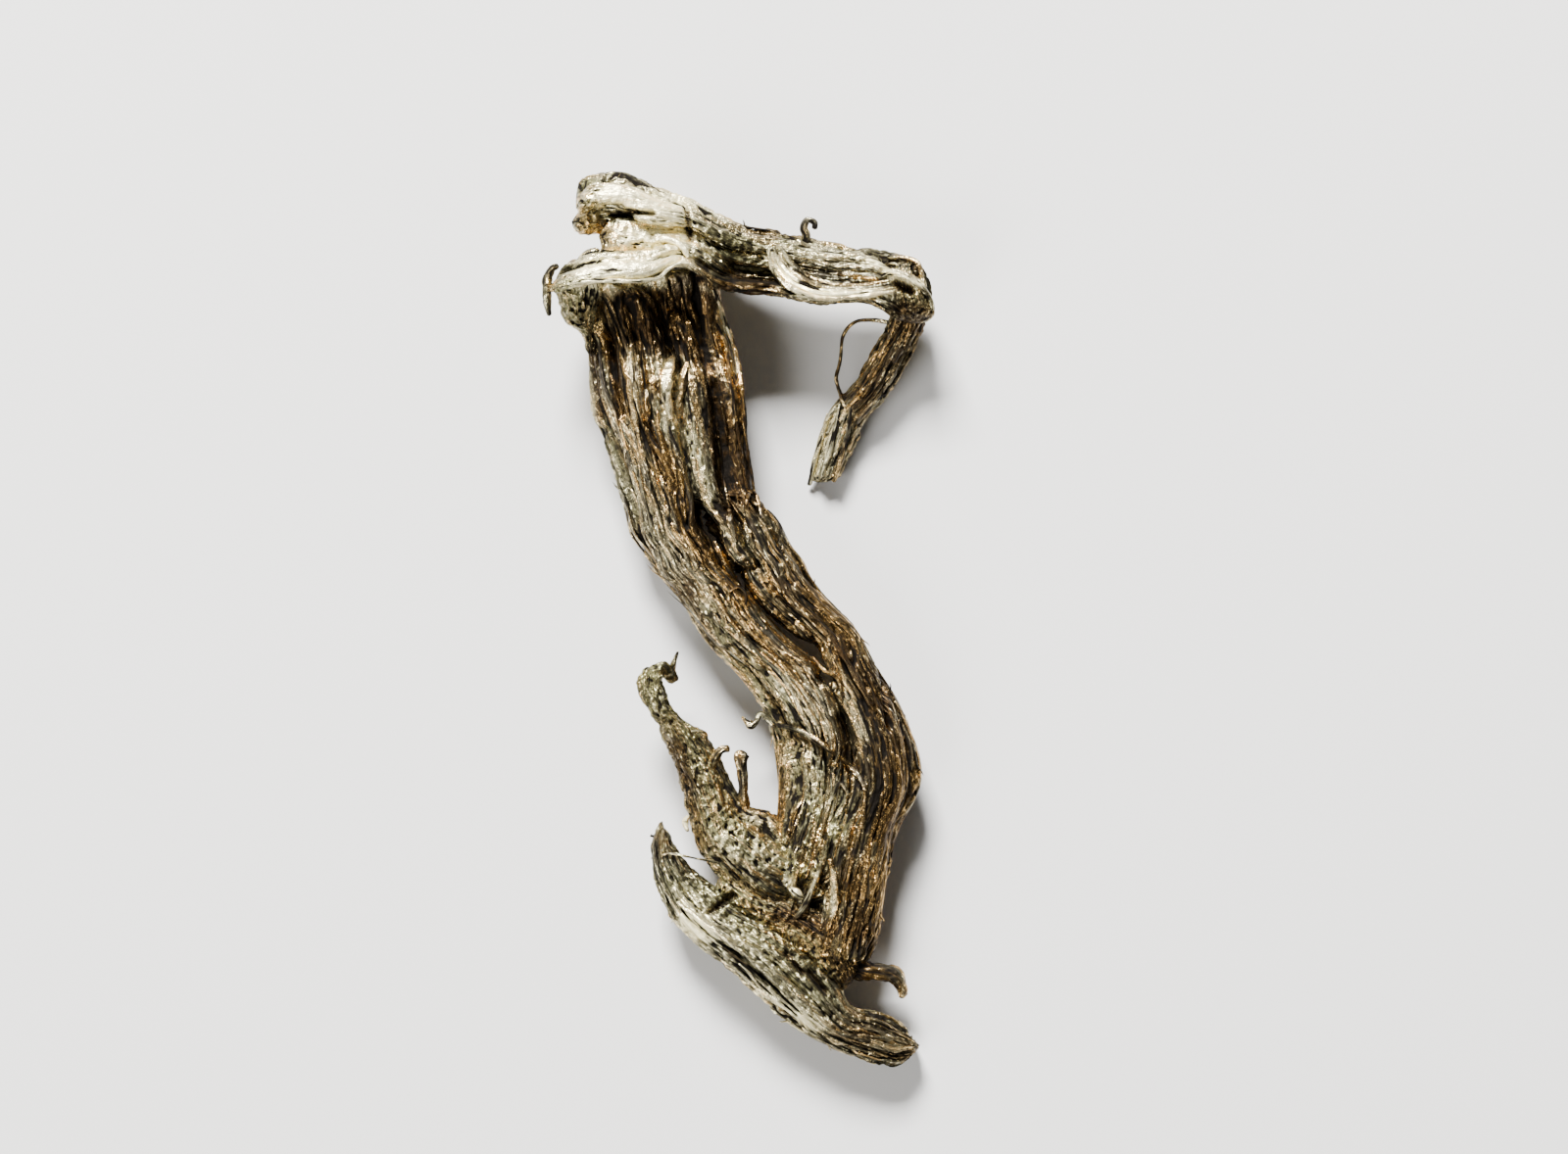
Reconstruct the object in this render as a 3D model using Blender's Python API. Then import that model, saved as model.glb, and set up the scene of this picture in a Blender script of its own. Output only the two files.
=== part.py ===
"""A native silver specimen: a loose, S-shaped bundle of silver wires that lies on its back on a table.

Run it with blender --background --python part.py, or from Blender's text editor.

+X runs to the right across the specimen, +Y along it towards the head, and +Z up from the table.
The shape is written in millimetres, and MM turns it into Blender's metres.

The specimen grew as one branching piece, so it is split at its main forks: the S-shaped stem, the arm that
crosses the stem's top and ends in a stack of folded lips, the thin bundle that hangs from the arm's far end,
the horn, and the thick lobe at the foot. Each of these is a bundle. Its stations give its two edges, its
middle height and its half depth, and strands run through the stations, each at its own place across the
bundle and through its depth. The strands are fused into one solid, a gap is kept to the bundles that it
grows from, the fine wires that stand off it are joined on, and its underside is trimmed where it rests.
"""

import math
from collections import namedtuple

import bmesh
import bpy
import numpy as np

MM = 0.001

# The gap that separate solids keep where they meet at a fork.
FORK_GAP = 0.3
# The side of the cubes that the strands are fused with: ridges and slits finer than this are lost.
FUSE_CELL = 0.21
# The same for the last fusing, which has to keep the wires that stand off.
FINE_CELL = 0.15
# Points along a strand for each station that it passes.
STEPS_PER_STATION = 5
# The most that a strand swells, thins or strays sideways, as a share of its own radius or of the bundle.
SWELL = 0.13
STRAY = 0.05
# The seam that splits a bundle lengthways runs at this place across it.
SEAM_ACROSS = 0.2
# Radius of a strand at its end and one step before it, as shares, so that it ends in a blunt tip.
END_TAPER = (0.70, 0.92)

Station = namedtuple("Station", "left_x left_y right_x right_y mid_z half_depth")
# across and deep run from -1 to 1: left to right edge, and back to front. first and last are stations.
# thick is the strand's radius as a share of the bundle's half width.
Strand = namedtuple("Strand", "across deep first last thick")
# A slit in the seam is a station, a half length and a width. The drift moves the seam across, at each station.
Bundle = namedtuple("Bundle", "stations strands slits drift", defaults=((), (0, 0)))

STEM = Bundle(
    stations=(
        Station(-9.30, 16.9, -1.00, 18.3, 4.2, 2.4),
        Station(-8.15, 14.4, -0.45, 14.5, 3.1, 1.9),
        Station(-7.85, 11.5, 0.30, 11.75, 3.2, 2.2),
        Station(-6.65, 8.50, 0.40, 8.75, 3.0, 2.2),
        Station(-5.65, 5.50, 1.05, 6.00, 2.9, 2.2),
        Station(-4.35, 2.75, 3.00, 3.25, 2.8, 2.1),
        Station(-2.50, 0.15, 4.85, 0.85, 2.7, 2.1),
        Station(-0.25, -2.50, 6.65, -1.85, 2.7, 2.1),
        Station(1.55, -5.25, 8.25, -4.65, 2.7, 2.1),
        Station(2.00, -8.25, 9.15, -8.00, 2.7, 2.0),
        Station(1.75, -10.75, 8.15, -10.75, 2.7, 1.9),
        Station(1.00, -13.25, 7.65, -13.50, 2.6, 1.8),
        Station(0.60, -15.50, 7.15, -16.00, 2.5, 1.6),
        Station(1.25, -17.00, 6.35, -17.75, 2.4, 1.4),
    ),
    strands=(
        Strand(-0.98, 0.10, 0, 13, 0.17),
        Strand(-0.76, 0.72, 0, 8.1, 0.17),
        Strand(-0.46, 0.92, 0, 8.35, 0.17),
        Strand(-0.14, 1.00, 0.3, 8.7, 0.18),
        Strand(-0.62, 0.25, 7.8, 11.2, 0.24),
        Strand(-0.16, 0.30, 7.9, 11.4, 0.24),
        Strand(0.40, 0.95, 0.7, 5.1, 0.17),
        Strand(0.97, 0.30, 0, 4.2, 0.17),
        Strand(0.66, 0.90, 4.4, 13, 0.17),
        Strand(0.84, 0.75, 3.6, 13, 0.17),
        Strand(0.98, 0.15, 3.9, 13, 0.17),
        Strand(0.42, 0.60, 5.0, 6.7, 0.22),
        Strand(0.24, 0.75, 7.3, 13, 0.16),
        Strand(0.15, -0.10, 0, 3.9, 0.28),
        Strand(0.62, -0.10, 0, 4.6, 0.30),
        Strand(-0.70, -0.80, 0, 13, 0.24),
        Strand(-0.24, -0.95, 0, 13, 0.24),
        Strand(0.70, -0.85, 0, 13, 0.26),
        Strand(0.20, -0.80, 0, 3.9, 0.22),
        Strand(0.22, -0.70, 7.6, 13, 0.22),
        Strand(-0.58, 0.00, 0, 11.0, 0.36),
        Strand(-0.50, -0.30, 10.5, 13, 0.30),
        Strand(0.74, -0.10, 4.0, 13, 0.28),
        Strand(0.46, 0.85, 6.7, 13, 0.17),
    ),
    slits=((4.35, 0.35, 0.10), (5.05, 0.22, 0.06), (6.5, 0.50, 0.14)),
    drift=(0, 0, 0, 0, 0, -0.13, -0.15, 0.15, 0.10, 0, 0, 0, 0, 0),
)

# The lips are the strands' left ends: first says how far left each one reaches.
ARM = Bundle(
    stations=(
        Station(-8.1, 22.8, -9.7, 16.3, 4.1, 3.4),
        Station(-5.9, 23.0, -7.4, 16.8, 4.0, 4.1),
        Station(-3.9, 22.1, -4.9, 17.2, 3.9, 4.0),
        Station(-2.3, 21.4, -2.9, 17.9, 4.0, 3.1),
        Station(-0.1, 20.3, -0.7, 16.8, 4.1, 2.3),
        Station(1.9, 19.95, 1.9, 16.5, 4.2, 1.8),
        Station(4.6, 19.4, 4.1, 16.1, 4.1, 1.7),
        Station(6.9, 19.0, 6.3, 16.2, 3.9, 1.6),
        Station(9.15, 18.3, 7.7, 15.6, 3.6, 1.6),
        Station(10.0, 16.4, 8.3, 15.2, 3.1, 1.4),
    ),
    strands=(
        Strand(-0.97, 0.30, 0.0, 9.0, 0.12),
        Strand(-0.62, 0.80, 0.25, 9.0, 0.22),
        Strand(-0.36, 0.30, 0.15, 9.0, 0.26),
        Strand(-0.42, 0.80, 1.5, 9.0, 0.18),
        Strand(0.00, 0.60, 0.95, 9.0, 0.22),
        Strand(0.28, 0.66, 0.95, 9.0, 0.20),
        Strand(0.60, 0.86, 0.6, 9.0, 0.19),
        Strand(0.97, 1.00, 0.0, 9.0, 0.17),
        Strand(0.88, 0.10, 0.0, 9.0, 0.20),
        Strand(-0.70, -0.80, 0.3, 9.0, 0.26),
        Strand(0.00, -1.00, 1.0, 9.0, 0.28),
        Strand(0.70, -0.85, 0.4, 9.0, 0.24),
        Strand(-0.05, 0.00, 1.1, 9.0, 0.44),
        Strand(0.60, 0.00, 1.0, 9.0, 0.38),
        Strand(-0.60, 0.05, 0.7, 9.0, 0.36),
    ),
)

HANGING = Bundle(
    stations=(
        Station(7.9, 16.2, 9.6, 16.2, 3.0, 1.0),
        Station(7.35, 15.0, 9.35, 14.9, 2.7, 1.0),
        Station(6.65, 13.75, 8.5, 13.15, 2.2, 0.95),
        Station(5.85, 12.25, 7.5, 11.5, 1.7, 0.9),
        Station(4.65, 10.85, 6.5, 10.35, 1.2, 0.85),
        Station(4.1, 9.45, 5.9, 9.0, 0.85, 0.85),
        Station(3.75, 8.1, 5.4, 8.0, 0.6, 0.85),
        Station(3.45, 7.2, 5.05, 7.15, 0.5, 0.8),
    ),
    strands=(
        Strand(-0.95, 0.1, 0, 7.0, 0.36),
        Strand(-0.25, 0.9, 0, 6.7, 0.36),
        Strand(0.50, 0.7, 0, 6.9, 0.36),
        Strand(0.95, -0.2, 0, 6.6, 0.36),
        Strand(0.05, -0.8, 0, 7.0, 0.44),
    ),
)

HORN = Bundle(
    stations=(
        Station(2.2, -15.4, 4.2, -11.4, 1.9, 1.3),
        Station(0.9, -15.0, 2.6, -10.6, 2.5, 1.5),
        Station(-0.9, -13.4, 1.5, -9.7, 2.8, 1.5),
        Station(-2.15, -11.65, 0.5, -9.4, 3.0, 1.3),
        Station(-2.65, -9.75, -0.2, -8.55, 3.2, 1.15),
        Station(-3.2, -7.9, -1.0, -7.0, 3.4, 1.0),
        Station(-3.9, -6.1, -2.0, -5.4, 3.6, 0.85),
        Station(-4.65, -4.5, -3.3, -4.3, 3.8, 0.75),
        Station(-5.2, -3.5, -3.65, -3.1, 3.9, 0.75),
        Station(-5.05, -2.3, -3.95, -2.2, 3.9, 0.6),
    ),
    strands=(
        Strand(-0.95, 0.0, 0, 9.0, 0.34),
        Strand(-0.40, 0.9, 0, 9.0, 0.32),
        Strand(0.25, 0.9, 0, 8.9, 0.32),
        Strand(0.95, 0.1, 0, 6.0, 0.32),
        Strand(-0.35, -0.8, 0, 8.9, 0.40),
        Strand(0.45, -0.8, 0, 8.6, 0.38),
        Strand(0.10, 0.0, 0, 4.5, 0.50),
    ),
)

LOBE = Bundle(
    stations=(
        Station(-4.2, -10.2, -3.6, -10.1, 3.5, 0.45),
        Station(-4.55, -11.85, -3.2, -11.65, 3.1, 0.9),
        Station(-4.35, -13.35, -2.35, -12.75, 2.6, 1.5),
        Station(-3.65, -15.0, -1.0, -13.75, 2.3, 2.0),
        Station(-2.5, -16.35, 0.4, -14.75, 2.1, 2.3),
        Station(-0.85, -17.65, 2.0, -15.5, 2.1, 2.35),
        Station(0.65, -19.15, 3.65, -16.65, 2.0, 2.3),
        Station(2.25, -20.5, 4.85, -18.0, 1.9, 2.15),
        Station(4.5, -21.75, 5.75, -19.75, 1.7, 1.95),
        Station(6.5, -22.6, 7.25, -20.15, 1.5, 1.75),
        Station(8.0, -22.95, 8.25, -20.75, 1.3, 1.4),
        Station(9.2, -22.2, 9.35, -21.7, 1.2, 0.8),
    ),
    strands=(
        Strand(-0.98, 0.20, 0.1, 11, 0.22),
        Strand(-0.66, 0.80, 0.3, 11, 0.22),
        Strand(-0.22, 1.00, 0.0, 10.9, 0.22),
        Strand(0.28, 0.95, 0.4, 10.8, 0.22),
        Strand(0.70, 0.75, 0.8, 10.5, 0.22),
        Strand(0.98, 0.15, 0.9, 10.3, 0.22),
        Strand(-0.60, -0.80, 0.5, 11, 0.34),
        Strand(0.05, -1.00, 0.5, 10.9, 0.36),
        Strand(0.65, -0.80, 0.8, 10.4, 0.34),
        Strand(-0.45, 0.40, 0.6, 10.5, 0.46),
        Strand(0.45, 0.40, 0.6, 10.5, 0.46),
        Strand(-0.45, -0.40, 0.6, 10.5, 0.46),
        Strand(0.45, -0.40, 0.6, 10.5, 0.46),
    ),
)

# Wires that stand off a bundle or lie across it: x, y, z and radius at each point, from the buried end.
LEFT_HOOK = (
    (-9.15, 18.0, 6.0, 0.14), (-9.45, 17.9, 6.2, 0.19), (-9.68, 17.4, 6.4, 0.22), (-9.7, 16.8, 6.5, 0.22),
    (-9.72, 16.15, 6.3, 0.19), (-9.6, 15.5, 6.0, 0.12),
)
LEFT_HOOK_ROOT = (
    (-8.6, 17.2, 6.8, 0.4), (-9.2, 17.0, 6.7, 0.3), (-9.68, 16.85, 6.5, 0.2),
)
ARM_LOOP = (
    (3.3, 19.0, 4.6, 0.3), (3.4, 19.65, 4.8, 0.22), (3.25, 20.05, 4.9, 0.19), (3.45, 20.4, 5.0, 0.18),
    (3.8, 20.3, 5.0, 0.18), (3.8, 19.95, 5.0, 0.15),
)
HANGING_HAIR = (
    (7.9, 15.3, 2.6, 0.16), (6.9, 15.5, 2.5, 0.15), (5.9, 15.4, 2.4, 0.15), (5.3, 14.7, 2.2, 0.15),
    (5.15, 13.4, 2.0, 0.15), (4.95, 12.5, 1.9, 0.15), (5.2, 11.6, 1.8, 0.15), (5.7, 10.6, 1.6, 0.16),
)
HORN_TIP = (
    (-4.5, -3.2, 3.9, 0.5), (-4.3, -2.6, 3.8, 0.42), (-4.0, -2.4, 3.5, 0.38), (-3.65, -2.7, 3.1, 0.33),
    (-3.45, -2.9, 3.0, 0.25), (-3.5, -2.45, 3.1, 0.18), (-3.35, -2.0, 3.4, 0.15), (-3.15, -1.5, 3.6, 0.07),
)
HORN_PIN = (
    (0.25, -9.9, 3.2, 0.32), (0.15, -8.6, 3.4, 0.26), (0.1, -7.4, 3.5, 0.28), (0.05, -6.9, 3.5, 0.36),
    (0.1, -6.55, 3.5, 0.3),
)
HORN_SPUR = (
    (-1.5, -7.6, 3.6, 0.3), (-1.25, -6.9, 3.7, 0.26), (-0.95, -6.55, 3.8, 0.22), (-0.5, -6.45, 3.8, 0.18),
)
STEM_CURL = (
    (1.9, -5.4, 3.2, 0.26), (1.1, -4.72, 3.3, 0.15), (0.8, -5.12, 3.4, 0.17), (0.55, -5.26, 3.4, 0.24),
    (0.35, -5.1, 3.4, 0.16), (0.1, -4.82, 3.4, 0.08),
)
FOLD_RIDGE = (
    (1.4, -4.9, 3.3, 0.3), (1.9, -5.25, 4.1, 0.2), (3.1, -5.55, 4.5, 0.2), (4.5, -6.3, 4.65, 0.22),
    (5.8, -7.4, 4.55, 0.22), (6.4, -8.5, 4.5, 0.24), (6.4, -9.9, 4.35, 0.24), (6.0, -11.4, 4.15, 0.22),
    (5.7, -13.2, 3.7, 0.2),
)
FOOT_SPUR = (
    (4.6, -16.6, 2.6, 0.8), (5.8, -17.7, 2.6, 0.62), (7.0, -18.0, 2.5, 0.46), (7.9, -18.2, 2.3, 0.42),
    (8.3, -18.8, 2.1, 0.3), (8.35, -19.4, 2.0, 0.22),
)

# Name of the slot, base colour, roughness and metallic value of each finish.
FINISHES = {
    "bright_silver": ((0.62, 0.58, 0.48), 0.34, 1.0),
    "tarnished_silver": ((0.40, 0.31, 0.20), 0.42, 1.0),
    "grey_silver": ((0.42, 0.40, 0.37), 0.40, 1.0),
}


def smooth_rows(rows, t):
    """The Catmull-Rom curve through the rows, read at t, where a whole number is a row itself."""
    rows = np.asarray(rows, float)
    last = len(rows) - 1
    below = np.clip(t.astype(int), 0, last - 1)
    f = (t - below)[:, None]
    a, b, c, d = (rows[np.clip(below + k, 0, last)] for k in (-1, 0, 1, 2))
    return b + 0.5 * f * ((c - a) + f * ((2 * a - 5 * b + 4 * c - d) + f * (3 * b - a - 3 * c + d)))


def seam_shift(across, t, bundle):
    """How far the seam moves a strand: it opens each slit, and drifts (less so towards the edges)."""
    side = math.copysign(1, across - SEAM_ACROSS)
    opening = side * sum(width * np.exp(-(((t - at) / half) ** 2)) for at, half, width in bundle.slits)
    return opening + np.interp(t, range(len(bundle.drift)), bundle.drift) * (1 - across**2)


def strand_line(bundle, number, grow=0):
    """Centre line and radii of one strand, in millimetres. It swells and strays by two slow sine waves."""
    strand = bundle.strands[number]
    steps = max(3, round((strand.last - strand.first) * STEPS_PER_STATION))
    t = np.linspace(strand.first, strand.last, steps + 1)
    row = smooth_rows(bundle.stations, t)
    left, right, mid_z, half_depth = row[:, 0:2], row[:, 2:4], row[:, 4], row[:, 5]
    half_width = np.linalg.norm(right - left, axis=1) / 2
    phase = 2.4 * number
    radius = strand.thick * half_width * (1 + SWELL * np.sin(2.1 * t + phase))
    radius = np.minimum(radius, 0.9 * half_depth)
    radius[[0, -1]] *= END_TAPER[0]
    radius[[1, -2]] *= END_TAPER[1]
    across = strand.across + STRAY * np.sin(1.3 * t + 1.7 * phase) + seam_shift(strand.across, t, bundle)
    along_width = (across * (half_width - radius) / half_width)[:, None]
    centre = (left + right) / 2 + along_width * (right - left) / 2
    height = mid_z + strand.deep * (half_depth - radius)
    return np.column_stack([centre, height]), radius + grow


def tube_mesh(name, lines, sides=2):
    """One mesh of round tubes with closed ends, one for each (points, radii). Both are in millimetres."""
    curve = bpy.data.curves.new(name, "CURVE")
    curve.dimensions = "3D"
    curve.bevel_depth = MM
    curve.bevel_resolution = sides
    curve.use_fill_caps = True
    for points, radii in lines:
        spline = curve.splines.new("POLY")
        spline.points.add(len(points) - 1)
        for point, place, radius in zip(spline.points, points, radii):
            point.co = (*(place * MM), 1.0)
            point.radius = radius
    holder = bpy.data.objects.new(name, curve)
    bpy.context.scene.collection.objects.link(holder)
    bpy.context.view_layer.update()
    mesh = bpy.data.meshes.new_from_object(holder.evaluated_get(bpy.context.evaluated_depsgraph_get()))
    bpy.data.objects.remove(holder)
    bpy.data.curves.remove(curve)
    return mesh


def add_object(name, mesh):
    made = bpy.data.objects.new(name, mesh)
    bpy.context.scene.collection.objects.link(made)
    return made


def add_cutter(name, mesh):
    """A helper that only shapes other objects, so it isn't rendered."""
    cutter = add_object(name, mesh)
    cutter.hide_render = True
    cutter.display_type = "WIRE"
    return cutter


def bake(made):
    """Puts what the modifiers make into the object's mesh."""
    bpy.context.view_layer.update()
    mesh = bpy.data.meshes.new_from_object(made.evaluated_get(bpy.context.evaluated_depsgraph_get()))
    made.modifiers.clear()
    made.data = mesh


def keep_largest(made):
    """Deletes every loose shell but the largest: inner bubbles and crumbs that fusing or cutting leaves."""
    shape = bmesh.new()
    shape.from_mesh(made.data)
    left, shells = set(shape.verts), []
    while left:
        shell, front = set(), [left.pop()]
        while front:
            vert = front.pop()
            shell.add(vert)
            near = {edge.other_vert(vert) for edge in vert.link_edges} & left
            left -= near
            front.extend(near)
        shells.append(shell)
    shells.sort(key=len)
    bmesh.ops.delete(shape, geom=[vert for shell in shells[:-1] for vert in shell], context="VERTS")
    shape.to_mesh(made.data)
    shape.free()


def fuse(made, cell=FUSE_CELL):
    """Turns overlapping tubes into closed skins, one for each group of tubes that touch."""
    remesh = made.modifiers.new("Fuse strands", "REMESH")
    remesh.mode = "VOXEL"
    remesh.voxel_size = cell * MM
    bake(made)


def cut(made, cutter):
    boolean = made.modifiers.new("Clear " + cutter.name, "BOOLEAN")
    boolean.operation = "DIFFERENCE"
    boolean.object = cutter
    bake(made)
    keep_largest(made)


def thin_out(made, triangles):
    """Collapses the smallest edges until about that many triangles are left."""
    made.data.calc_loop_triangles()
    decimate = made.modifiers.new("Thin out", "DECIMATE")
    decimate.ratio = triangles / len(made.data.loop_triangles)
    decimate.use_collapse_triangulate = True
    bake(made)


def join_wires(made, wires):
    """Puts the wires that stand off a bundle into its mesh, for the next fusing to weld them on."""
    lines = []
    for wire in wires:
        rows = smooth_rows(wire, np.linspace(0, len(wire) - 1, 3 * (len(wire) - 1) + 1))
        lines.append((rows[:, :3], rows[:, 3]))
    shape = bmesh.new()
    shape.from_mesh(made.data)
    shape.from_mesh(tube_mesh("wires", lines))
    shape.to_mesh(made.data)
    shape.free()


def table_cutter():
    """A slab just under the table's top, which trims the lowest ridges into flats that it rests on."""
    half, thick = 40 * MM, 5 * MM
    shape = bmesh.new()
    bmesh.ops.create_cube(shape, size=1)
    bmesh.ops.scale(shape, vec=(2 * half, 2 * half, thick), verts=shape.verts)
    bmesh.ops.translate(shape, vec=(0, 0, -thick / 2), verts=shape.verts)
    mesh = bpy.data.meshes.new("table")
    shape.to_mesh(mesh)
    shape.free()
    return add_cutter("table", mesh)


def clearance(name, *bundles):
    """The space that a solid keeps out of: its neighbours' fused strands, thicker by the gap."""
    lines = [
        strand_line(bundle, number, grow=FORK_GAP) for bundle in bundles for number in range(len(bundle.strands))
    ]
    cutter = add_cutter(name, tube_mesh(name, lines))
    fuse(cutter)
    return cutter


def finish(made, slot):
    colour, roughness, metallic = FINISHES[slot]
    material = bpy.data.materials.get(slot) or bpy.data.materials.new(slot)
    material.use_nodes = True
    shader = material.node_tree.nodes["Principled BSDF"]
    shader.inputs["Base Color"].default_value = (*colour, 1)
    shader.inputs["Roughness"].default_value = roughness
    shader.inputs["Metallic"].default_value = metallic
    made.data.materials.clear()
    made.data.materials.append(material)
    made.data.shade_smooth()
    made.data.set_sharp_from_angle(angle=math.radians(50))


def add_solid(name, bundle, triangles, slot, wires=(), space=None, table=None):
    """One solid of the specimen, from its bundle's strands to its finish."""
    lines = [strand_line(bundle, number) for number in range(len(bundle.strands))]
    made = add_object(name, tube_mesh(name, lines))
    fuse(made)
    keep_largest(made)
    if space:
        cut(made, space)
    join_wires(made, wires)
    fuse(made, FINE_CELL)
    keep_largest(made)
    thin_out(made, triangles)
    cut(made, table)
    finish(made, slot)


def main():
    for old in list(bpy.data.objects):
        bpy.data.objects.remove(old)
    table = table_cutter()
    arm_wires = (LEFT_HOOK, LEFT_HOOK_ROOT, ARM_LOOP)
    add_solid("top_arm", ARM, 2500, "bright_silver", wires=arm_wires, table=table)
    add_solid("lower_lobe", LOBE, 2000, "grey_silver", table=table)
    stem_wires = (STEM_CURL, FOLD_RIDGE, FOOT_SPUR)
    stem_space = clearance("stem_space", ARM, LOBE)
    add_solid("stem", STEM, 3500, "tarnished_silver", wires=stem_wires, space=stem_space, table=table)
    horn_wires = (HORN_TIP, HORN_PIN, HORN_SPUR)
    horn_space = clearance("horn_space", STEM, LOBE)
    add_solid("left_horn", HORN, 1000, "tarnished_silver", wires=horn_wires, space=horn_space, table=table)
    hanging_space = clearance("hanging_space", ARM)
    add_solid(
        "hanging_bundle", HANGING, 600, "tarnished_silver", wires=(HANGING_HAIR,), space=hanging_space, table=table,
    )


main()
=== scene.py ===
"""A native silver specimen: the finely striated bundles of silver wire, the loose wires and their tarnish,
with painted highlights and painted shade.

The file is laid out as an add-on and run as a script. Shapes are worked out in millimetres, and MM turns them
into metres. +X runs to the right across the specimen, +Y along it towards the head, +Z up from the table.

Each bundle is a row of stations (its two edges, its middle height and its half depth) with strands running
through them. A skin is the outer envelope of some of those strands, with fine wires raised on it, and loose
strands are laid on the skins.
"""

import math
from collections import namedtuple

import bpy
import numpy as np
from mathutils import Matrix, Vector


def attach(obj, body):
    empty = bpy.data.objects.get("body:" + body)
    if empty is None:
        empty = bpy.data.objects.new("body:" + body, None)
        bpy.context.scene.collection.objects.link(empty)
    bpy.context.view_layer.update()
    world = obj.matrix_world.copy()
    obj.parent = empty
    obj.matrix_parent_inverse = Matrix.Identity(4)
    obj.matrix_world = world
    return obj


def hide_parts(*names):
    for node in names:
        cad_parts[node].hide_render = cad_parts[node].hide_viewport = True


bl_info = {
    "name": "Native silver specimen",
    "version": (1, 0, 0),
    "blender": (4, 5, 0),
    "location": "View3D > Sidebar > Silver",
    # The tarnish includes painted highlights and painted shade.
    "description": "Dresses the solids of a native silver specimen with striated wire bundles and tarnish",
    "category": "Add Mesh",
}

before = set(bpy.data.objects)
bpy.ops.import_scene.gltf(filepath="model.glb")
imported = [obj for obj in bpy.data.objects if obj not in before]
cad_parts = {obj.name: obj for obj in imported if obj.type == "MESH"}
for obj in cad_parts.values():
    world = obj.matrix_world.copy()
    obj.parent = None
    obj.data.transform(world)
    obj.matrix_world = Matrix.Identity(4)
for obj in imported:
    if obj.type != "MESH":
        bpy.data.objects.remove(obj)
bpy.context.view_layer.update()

MM = 0.001

Station = namedtuple("Station", "left_x left_y right_x right_y mid_z half_depth")
# across and deep run from -1 to 1: left to right edge, and back to front. first and last are stations.
# thick is the strand's radius as a share of the bundle's half width.
Strand = namedtuple("Strand", "across deep first last thick")
# A slit is a station, a half length and a width. The drift is the seam's, at each station.
Bundle = namedtuple("Bundle", "stations strands slits drift", defaults=((), (0, 0)))
# A skin wraps some of the bundle's strands, from the station first to last. Ragged is how uneven its ends
# are, in stations, and round is the length over which an end rounds off, in millimetres.
Skin = namedtuple("Skin", "name picks first last rows columns ragged round")
# A soft patch of a tint round a line from one place to another, in millimetres, and how strong it is. It
# reaches no higher than top.
Patch = namedtuple("Patch", "from_x from_y to_x to_y reach strength top", defaults=(99,))

# The most that a strand swells, thins or strays sideways, as a share of its own radius or of the bundle.
SWELL = 0.13
STRAY = 0.05
# The seam that splits a bundle lengthways runs at this place across it.
SEAM_ACROSS = 0.2

STEM = Bundle(
    stations=(
        Station(-9.30, 16.9, -1.00, 18.3, 4.2, 2.4),
        Station(-8.15, 14.4, -0.45, 14.5, 3.1, 1.9),
        Station(-7.85, 11.5, 0.30, 11.75, 3.2, 2.2),
        Station(-6.65, 8.50, 0.40, 8.75, 3.0, 2.2),
        Station(-5.65, 5.50, 1.05, 6.00, 2.9, 2.2),
        Station(-4.35, 2.75, 3.00, 3.25, 2.8, 2.1),
        Station(-2.50, 0.15, 4.85, 0.85, 2.7, 2.1),
        Station(-0.25, -2.50, 6.65, -1.85, 2.7, 2.1),
        Station(1.55, -5.25, 8.25, -4.65, 2.7, 2.1),
        Station(2.00, -8.25, 9.15, -8.00, 2.7, 2.0),
        Station(1.75, -10.75, 8.15, -10.75, 2.7, 1.9),
        Station(1.00, -13.25, 7.65, -13.50, 2.6, 1.8),
        Station(0.60, -15.50, 7.15, -16.00, 2.5, 1.6),
        Station(1.25, -17.00, 6.35, -17.75, 2.4, 1.4),
    ),
    strands=(
        Strand(-0.98, 0.10, 0, 13, 0.17),
        Strand(-0.76, 0.72, 0, 8.1, 0.17),
        Strand(-0.46, 0.92, 0, 8.35, 0.17),
        Strand(-0.14, 1.00, 0.3, 8.7, 0.18),
        Strand(-0.62, 0.25, 7.8, 11.2, 0.24),
        Strand(-0.16, 0.30, 7.9, 11.4, 0.24),
        Strand(0.40, 0.95, 0.7, 5.1, 0.17),
        Strand(0.97, 0.30, 0, 4.2, 0.17),
        Strand(0.66, 0.90, 4.4, 13, 0.17),
        Strand(0.84, 0.75, 3.6, 13, 0.17),
        Strand(0.98, 0.15, 3.9, 13, 0.17),
        Strand(0.42, 0.60, 5.0, 6.7, 0.22),
        Strand(0.24, 0.75, 7.3, 13, 0.16),
        Strand(0.15, -0.10, 0, 3.9, 0.28),
        Strand(0.62, -0.10, 0, 4.6, 0.30),
        Strand(-0.70, -0.80, 0, 13, 0.24),
        Strand(-0.24, -0.95, 0, 13, 0.24),
        Strand(0.70, -0.85, 0, 13, 0.26),
        Strand(0.20, -0.80, 0, 3.9, 0.22),
        Strand(0.22, -0.70, 7.6, 13, 0.22),
        Strand(-0.58, 0.00, 0, 11.0, 0.36),
        Strand(-0.50, -0.30, 10.5, 13, 0.30),
        Strand(0.74, -0.10, 4.0, 13, 0.28),
        Strand(0.46, 0.85, 6.7, 13, 0.17),
    ),
    slits=((4.35, 0.35, 0.10), (5.05, 0.22, 0.06), (6.5, 0.50, 0.14)),
    drift=(0, 0, 0, 0, 0, -0.13, -0.15, 0.15, 0.10, 0, 0, 0, 0, 0),
)
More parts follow.
